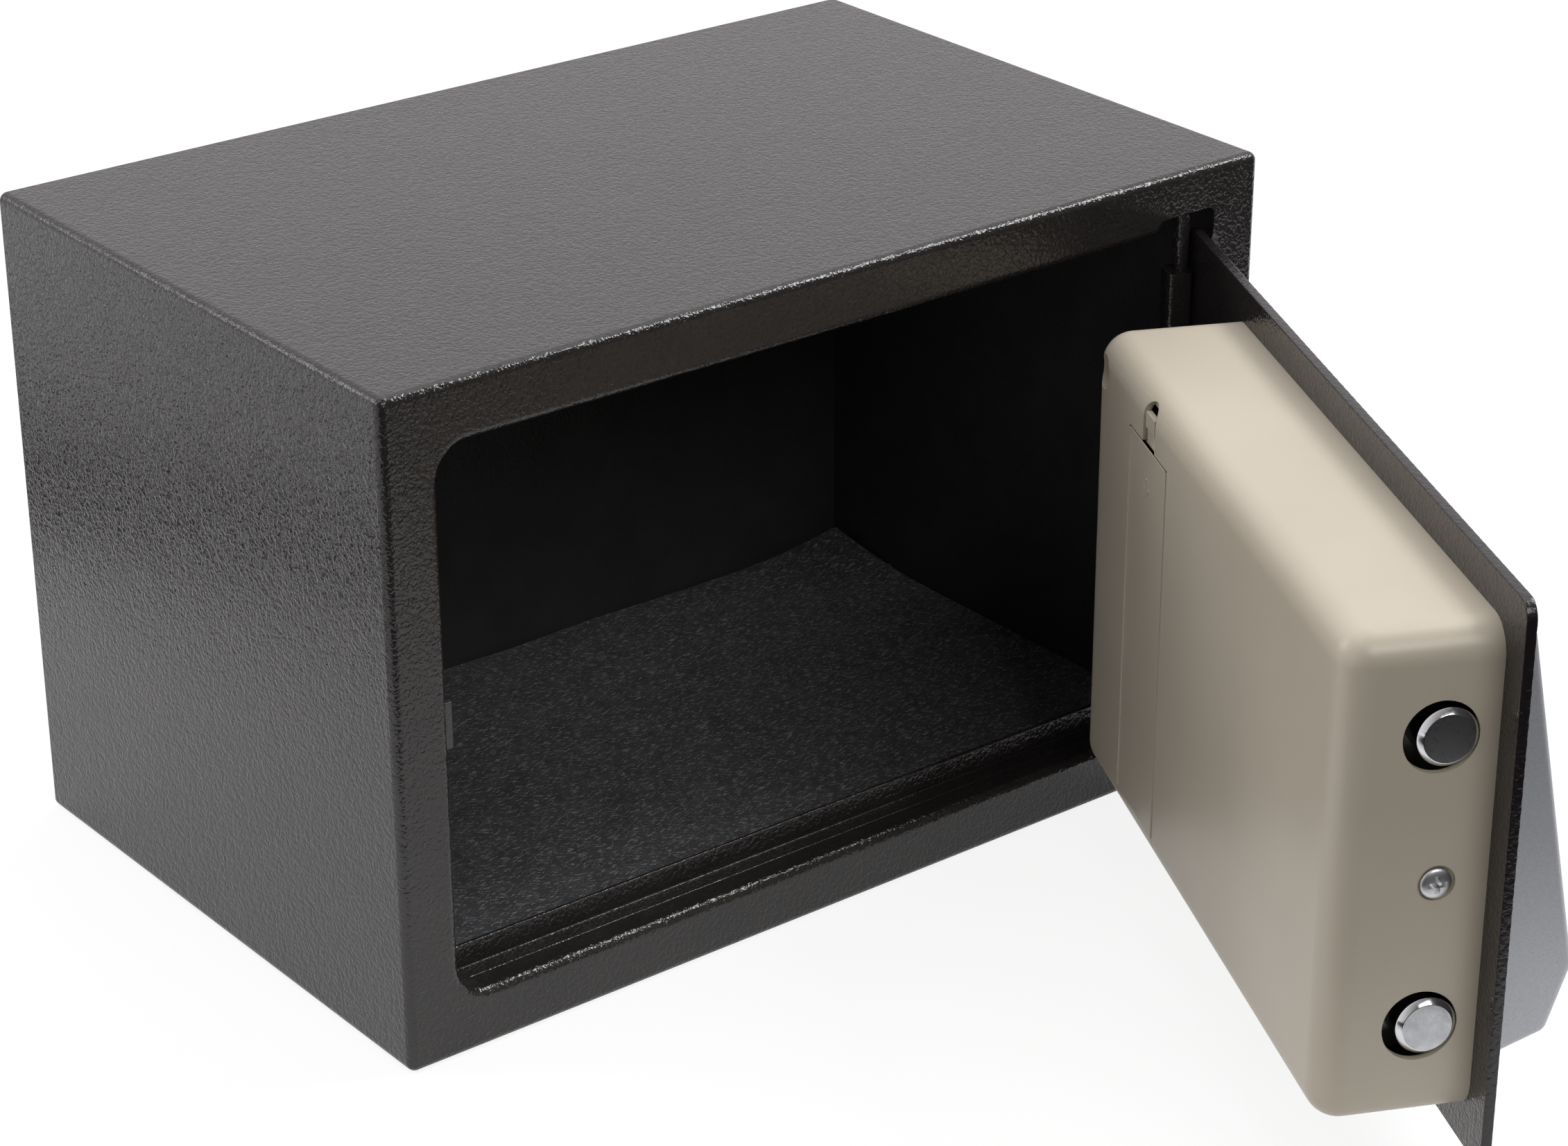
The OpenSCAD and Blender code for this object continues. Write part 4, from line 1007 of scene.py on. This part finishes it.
# %% The slope
housing_low, housing_high = local_box("keypad_housing")
TOP_DEEP, LOW_DEEP, HOUSING_WALL = mm(9, 21.5, 2.2)
KNEE, HEEL = mm(27.7, 8.6)
plate_front = housing_high.y
slope_run = housing_high.z - housing_low.z - KNEE
deepest = plate_front - housing_low.y
slope = math.atan2(deepest - TOP_DEEP, slope_run)
slope_len = slope_run / math.cos(slope)
housing_x = (housing_low.x + housing_high.x) / 2
slope_frame = (on_door @ Matrix.Translation((housing_x, plate_front - TOP_DEEP, housing_high.z))
               @ Matrix.Rotation(-slope, 4, "X") @ Matrix.Rotation(math.pi / 2, 4, "X"))
print("keypad slope", round(math.degrees(slope), 1), "degrees,", round(slope_len / MM, 1), "mm long")


def slope_box(name, x, t, half_w, half_h, low, high, radius=0.3 * MM):
    """Block on the slope: x across, t down from its top edge, low and high out of the face."""
    edge = outline(half_w, half_h, radius, (x, -t), 4)
    return lofted(name, [level(edge, h) for h in (low, high)], slope_frame)


# %% Housing
KEY_W, KEY_H, KEY_GAP, KEY_PITCH, KEY_FIRST = 14 * MM, 8.5 * MM, 0.3 * MM, (21 * MM, 11.5 * MM), 31 * MM
WINDOW, WINDOW_T, WINDOW_SEAT = (62 * MM, 16 * MM), 15 * MM, 1.2 * MM
HOUSING_BEVEL, CAP_BORE, CAP_UP = mm(2.2, 8.8, 15.5)
cap_t = slope_len - CAP_UP
key_names = ["1", "2", "3", "4", "5", "6", "7", "8", "9", "left", "0", "right"]
key_spots = {label: ((i % 3 - 1) * KEY_PITCH[0], KEY_FIRST + i // 3 * KEY_PITCH[1])
             for i, label in enumerate(key_names)}


def housing_side(inset=0.0):
    """The housing's side view as (depth in front of the plate, height)."""
    low, high = housing_low.z, housing_high.z
    return [(-1 * MM if inset else 0, high - inset), (TOP_DEEP - inset, high - inset),
            (deepest - inset, high - slope_run + inset * 0.3), (LOW_DEEP - inset, low + HEEL + inset * 0.5),
            (-1 * MM if inset else 0, low + inset * 1.2)]


def housing_prism(name, inset=0.0):
    rings = [[(x, plate_front - deep, z) for deep, z in housing_side(inset)]
             for x in (housing_low.x + inset, housing_high.x - inset)]
    return lofted(name, rings, on_door)


def keypad_housing():
    housing = housing_prism("keypad_housing_painted")
    back = on_door.inverted()
    with edited(housing.data) as shape:
        rounds = [e for e in shape.edges
                  if not all(abs((back @ v.co).y - plate_front) < 0.01 * MM for v in e.verts)]
        bmesh.ops.bevel(shape, geom=rounds, offset=HOUSING_BEVEL, offset_type="OFFSET", segments=6, profile=0.5,
                        affect="EDGES", clamp_overlap=True)
    below, above = -4 * MM, 3 * MM
    wide, tall = (side / 2 for side in WINDOW)
    cutters = [housing_prism("hollow", HOUSING_WALL),
               slope_box("window_seat", 0, WINDOW_T, wide, tall, -WINDOW_SEAT, above, 1.2 * MM),
               slope_box("window_hole", 0, WINDOW_T, wide - 4 * MM, tall - 3 * MM, below, above)]
    cutters += [slope_box("key_hole", x, t, KEY_W / 2 + KEY_GAP, KEY_H / 2 + KEY_GAP, below, above, 1.8 * MM)
                for x, t in key_spots.values()]
    cutters.append(rod("cap_hole", (0, -cap_t, below), (0, 0, 1), CAP_BORE, above - below, slope_frame))
    cut(housing, *cutters)
    return seat(housing, housing_paint, "door", "keypad_housing")


housing = keypad_housing()
print("housing faces:", len(housing.data.polygons))


# %% [markdown]
# ## Keys
# Each key is a small cushion with a rounded rim and a shallow dish. Its numeral is text turned into mesh
# and sunk a little into the dish. The outer keys of the last row carry a star and a hash.

# %% Keys
KEY_LOW, KEY_TOP, KEY_CORNER, KEY_RIM, DISH, GLYPH, STAR_DROP = mm(-3, 1.2, 1.5, 0.55, 0.19, 5.6, 0.9)


def glyph(symbol, at):
    """Raised text as a mesh object, centred at a point of the slope."""
    letters = bpy.data.curves.new("glyph", "FONT")
    letters.body, letters.size, letters.extrude = symbol, GLYPH, 0.12 * MM
    letters.align_x, letters.align_y, letters.resolution_u = "CENTER", "CENTER", 6
    text = linked("glyph", letters)
    mesh = plain_mesh(text)
    bpy.data.objects.remove(text)
    mesh.transform(slope_frame @ Matrix.Translation((at[0], at[1], KEY_TOP - DISH)))
    return linked("glyph_mesh", mesh)


def keypad_key(label):
    x, t = key_spots[label]
    wide, tall = KEY_W / 2, KEY_H / 2
    rings = [level(outline(wide, tall, KEY_CORNER, (x, -t), 6), KEY_LOW)]
    for lift, slide in quarter_arc(5):
        inset = KEY_RIM * lift
        edge = outline(wide - inset, tall - inset, KEY_CORNER - inset, (x, -t), 6)
        rings.append(level(edge, KEY_TOP - KEY_RIM * (1 - slide)))
    for share, sink in ((0.8, 0.03 * MM), (0.5, 0.14 * MM), (0.2, DISH)):
        edge = outline(wide * share, tall * share, KEY_CORNER * share * 0.7, (x, -t), 6)
        rings.append(level(edge, KEY_TOP - sink))
    key = lofted(f"key_{label}_cap", rings, slope_frame)
    seat(key, key_plastic, f"press_key_{label}", f"key_{label}", angle=45)
    drop = STAR_DROP if label == "left" else 0
    return join(key, glyph({"left": "*", "right": "#"}.get(label, label), (x, -t - drop)), legend_paint)


keys = [keypad_key(label) for label in key_names]
print("key faces:", len(keys[0].data.polygons))


# %% [markdown]
# ## Window and cap
# The display sits behind a dark polished window with a filed rim. Below the keys a pull-off cap, turned
# like a coin, hides the override lock. It has a notch for a fingernail.

# %% Window and cap
def display_window():
    wide, tall = (side / 2 - 0.1 * MM for side in WINDOW)
    rims = ((0, -WINDOW_SEAT), (0, 0.1 * MM), (0.06 * MM, 0.24 * MM), (0.25 * MM, 0.3 * MM))
    rings = [level(outline(wide - inset, tall - inset, 1.1 * MM, (0, -WINDOW_T), 6), height)
             for inset, height in rims]
    return seat(lofted("display_window_polished", rings, slope_frame), window_tint, "door", "display_window")


def override_cap():
    profile = [(3.5, 1.5), (6.6, 1.55), (7.0, 1.35), (7.4, 1.35), (7.8, 1.6), (9.4, 1.6), (9.8, 1.45),
               (10, 1.1), (10, 0.2), (9.8, 0.1), (8.6, 0.1), (8.6, -2.7), (8.3, -3), (7.2, -3), (7.2, -0.05)]
    profile = [(AXIS, 1.45 * MM)] + [mm(*point) for point in profile] + [(AXIS, -0.05 * MM)]
    cap = turned("override_cap_painted", profile, (0, -cap_t, 0), (0, 0, 1), slope_frame)
    cut(cap, slope_box("nail", 0, cap_t + 11.2 * MM, *mm(3.5, 2.2, 0.9, 3)))
    return seat(cap, housing_paint, "override_cover", "override_cap")


window, cap = display_window(), override_cap()
print("window faces:", len(window.data.polygons), "and cap faces:", len(cap.data.polygons))

# %% [markdown]
# ## Floor, light and camera
# The coat is nearly black, so what the eye sees on it is the room. A pale sheet lies under the safe. Its colour
# carries painted shade that the camera's own rays never meet: a hand's width to the left and right of the safe,
# beyond the sheet's near end, and as a painted shadow where the camera stands. In mirrored rays this gives the
# glossy faces their dark bands. The camera's own rays see it white but for the safe's shadow, and mirrored rays
# nearly so outside the painted shade.

# %% Floor
SHEET_SEEN, SHEET_MIRRORED, ROOM_MIRRORED = 0.8, 0.5, 0.4  # how much of plain white each kind of ray meets


def pale_floor():
    f = Finish("pale_floor")
    paper = f.grain(20, detail=2)
    x, y = (f.node("ShaderNodeSeparateXYZ", {0: f.place}, out=axis) for axis in "XY")
    beside = x - y * 0.5
    # Painted shade in the sheet's colour: a strip to the left, beyond the near end and at the far right, and a
    # painted shadow where the camera stands
    gap = f.ramp(beside, -0.5, -0.47) * (1 - f.ramp(beside, -0.405, -0.365))
    stand = f.node("ShaderNodeVectorMath", {0: f.place, 1: (-0.35, -0.62, 0)}, "Value", operation="DISTANCE")
    shaded = 1 - f.ramp(stand, 0.34, 0.41)
    painted_shade_near = 1 - f.ramp(y, -0.5, -0.45)
    painted_shade_far_right = f.ramp(x, 0.37, 0.42) * (1 - f.ramp(y, -0.25, -0.15))
    dark = gap
    for other in (shaded, painted_shade_near, painted_shade_far_right):
        dark = f.maths("MAXIMUM", dark, other)
    seen = f.ray("Is Camera Ray")
    mirrored = f.ray("Is Glossy Ray") + f.ray("Is Transmission Ray")
    tint = f.mix(paper, colour(0.90, 0.90, 0.90), colour(0.93, 0.93, 0.93))
    # The painted shade darkens the sheet for every ray but the camera's, and below it also takes out the glow in
    # mirrored rays
    tint = f.mix(dark * (1 - seen), tint, colour(0.02, 0.02, 0.02))
    plain = f.node("ShaderNodeBsdfDiffuse", {"Color": tint})
    white = f.node("ShaderNodeEmission", {"Color": colour(1, 1, 1), "Strength": 1.08})
    glow = seen * SHEET_SEEN + mirrored * (1 - dark) * SHEET_MIRRORED
    whole = f.node("ShaderNodeMixShader", {0: glow, 1: plain, 2: white})
    f.node("ShaderNodeOutputMaterial", {"Surface": whole})
    return f.material


floor_points = [(x, y, cad_box[0][2]) for x in (-5, 5) for y in (-5, 5)]
floor = solid("floor", floor_points, [(0, 2, 3, 1)])
if floor.data.polygons[0].normal.z < 0:
    floor.data.flip_normals()
floor.data.materials.append(pale_floor())

# %% [markdown]
# The room is bright behind the safe and above it, and dark on the side of the camera. One wide lamp hangs
# over the back, a smaller one stands far to the left, and one above the camera reaches the mat. A small bright
# lamp on the right draws the thin lines of light along the rolled edges.


# %% Room and lamps
def room():
    world = bpy.data.worlds.new("room")
    bpy.context.scene.world = world
    world.use_nodes = True
    world.node_tree.nodes.clear()
    graph = Graph(world.node_tree)
    towards = graph.node("ShaderNodeTexCoord", out="Generated")
    depth = graph.node("ShaderNodeSeparateXYZ", {0: towards}, out="Y")
    lit = graph.ramp(depth, -0.5, 0.1)
    tint = graph.mix(lit, colour(0.10, 0.095, 0.09), colour(0.78, 0.74, 0.75))
    around = graph.node("ShaderNodeBackground", {"Color": tint, "Strength": 1.0})
    white = graph.node("ShaderNodeBackground", {"Color": colour(1, 1, 1), "Strength": 1.0})
    mirrored = graph.ray("Is Glossy Ray") + graph.ray("Is Transmission Ray")
    pale = graph.ray("Is Camera Ray") + mirrored * lit * ROOM_MIRRORED
    both = graph.node("ShaderNodeMixShader", {0: pale, 1: around, 2: white})
    graph.node("ShaderNodeOutputWorld", {"Surface": both})


def lamp(name, at, towards, size, watts, tint=(1, 1, 1)):
    light = bpy.data.lights.new(name, "AREA")
    light.shape, light.size, light.size_y = "RECTANGLE", size[0], size[1]
    light.energy, light.color = watts, tint
    made = linked(name, light)
    made.location = at
    made.rotation_mode = "QUATERNION"
    made.rotation_quaternion = (Vector(towards) - Vector(at)).to_track_quat("-Z", "Y")


room()
lamp("overhead", (0.1, 0.25, 1.5), (0, -0.05, 0.1), (1.6, 1.2), 5.2, (0.93, 0.97, 1.0))
lamp("left", (-1.25, 1.25, 1.15), (0, -0.1, 0.1), (0.9, 0.9), 9)
lamp("right", (0.85, -0.4, 1.2), (0, -0.1, 0.1), (0.45, 0.45), 8)
lamp("front", (-0.2, -1.3, 1.1), (0, 0, 0.05), (0.9, 0.5), 7)

# %% [markdown]
# The camera stands to the left of the door and looks down on the safe. Its turn is built from three angles,
# and the small shift of the lens moves the object to the middle of the frame.

# %% Camera
CAMERA_AT = (-0.648695, -0.894636, 0.586218)
FOCAL_LENGTH, SENSOR_WIDTH, SHIFT = 91.28, 36, (-0.0345, 0.03296)
YAW, PITCH, ROLL = (math.radians(a) for a in (39.00189, 25.77552, 0.20093))
ahead = Vector((math.sin(YAW) * math.cos(PITCH), math.cos(YAW) * math.cos(PITCH), -math.sin(PITCH)))
level = Vector((math.cos(YAW), -math.sin(YAW), 0))
upward = level.cross(ahead)
right = level * math.cos(ROLL) + upward * math.sin(ROLL)
up = upward * math.cos(ROLL) - level * math.sin(ROLL)
lens = bpy.data.cameras.new("camera")
lens.lens, lens.sensor_width, lens.shift_x, lens.shift_y = FOCAL_LENGTH, SENSOR_WIDTH, *SHIFT
camera = linked("camera", lens)
camera.matrix_world = Matrix.Translation(CAMERA_AT) @ Matrix((right, up, -ahead)).transposed().to_4x4()
bpy.context.scene.camera = camera
bpy.context.scene.view_settings.view_transform = "Standard"
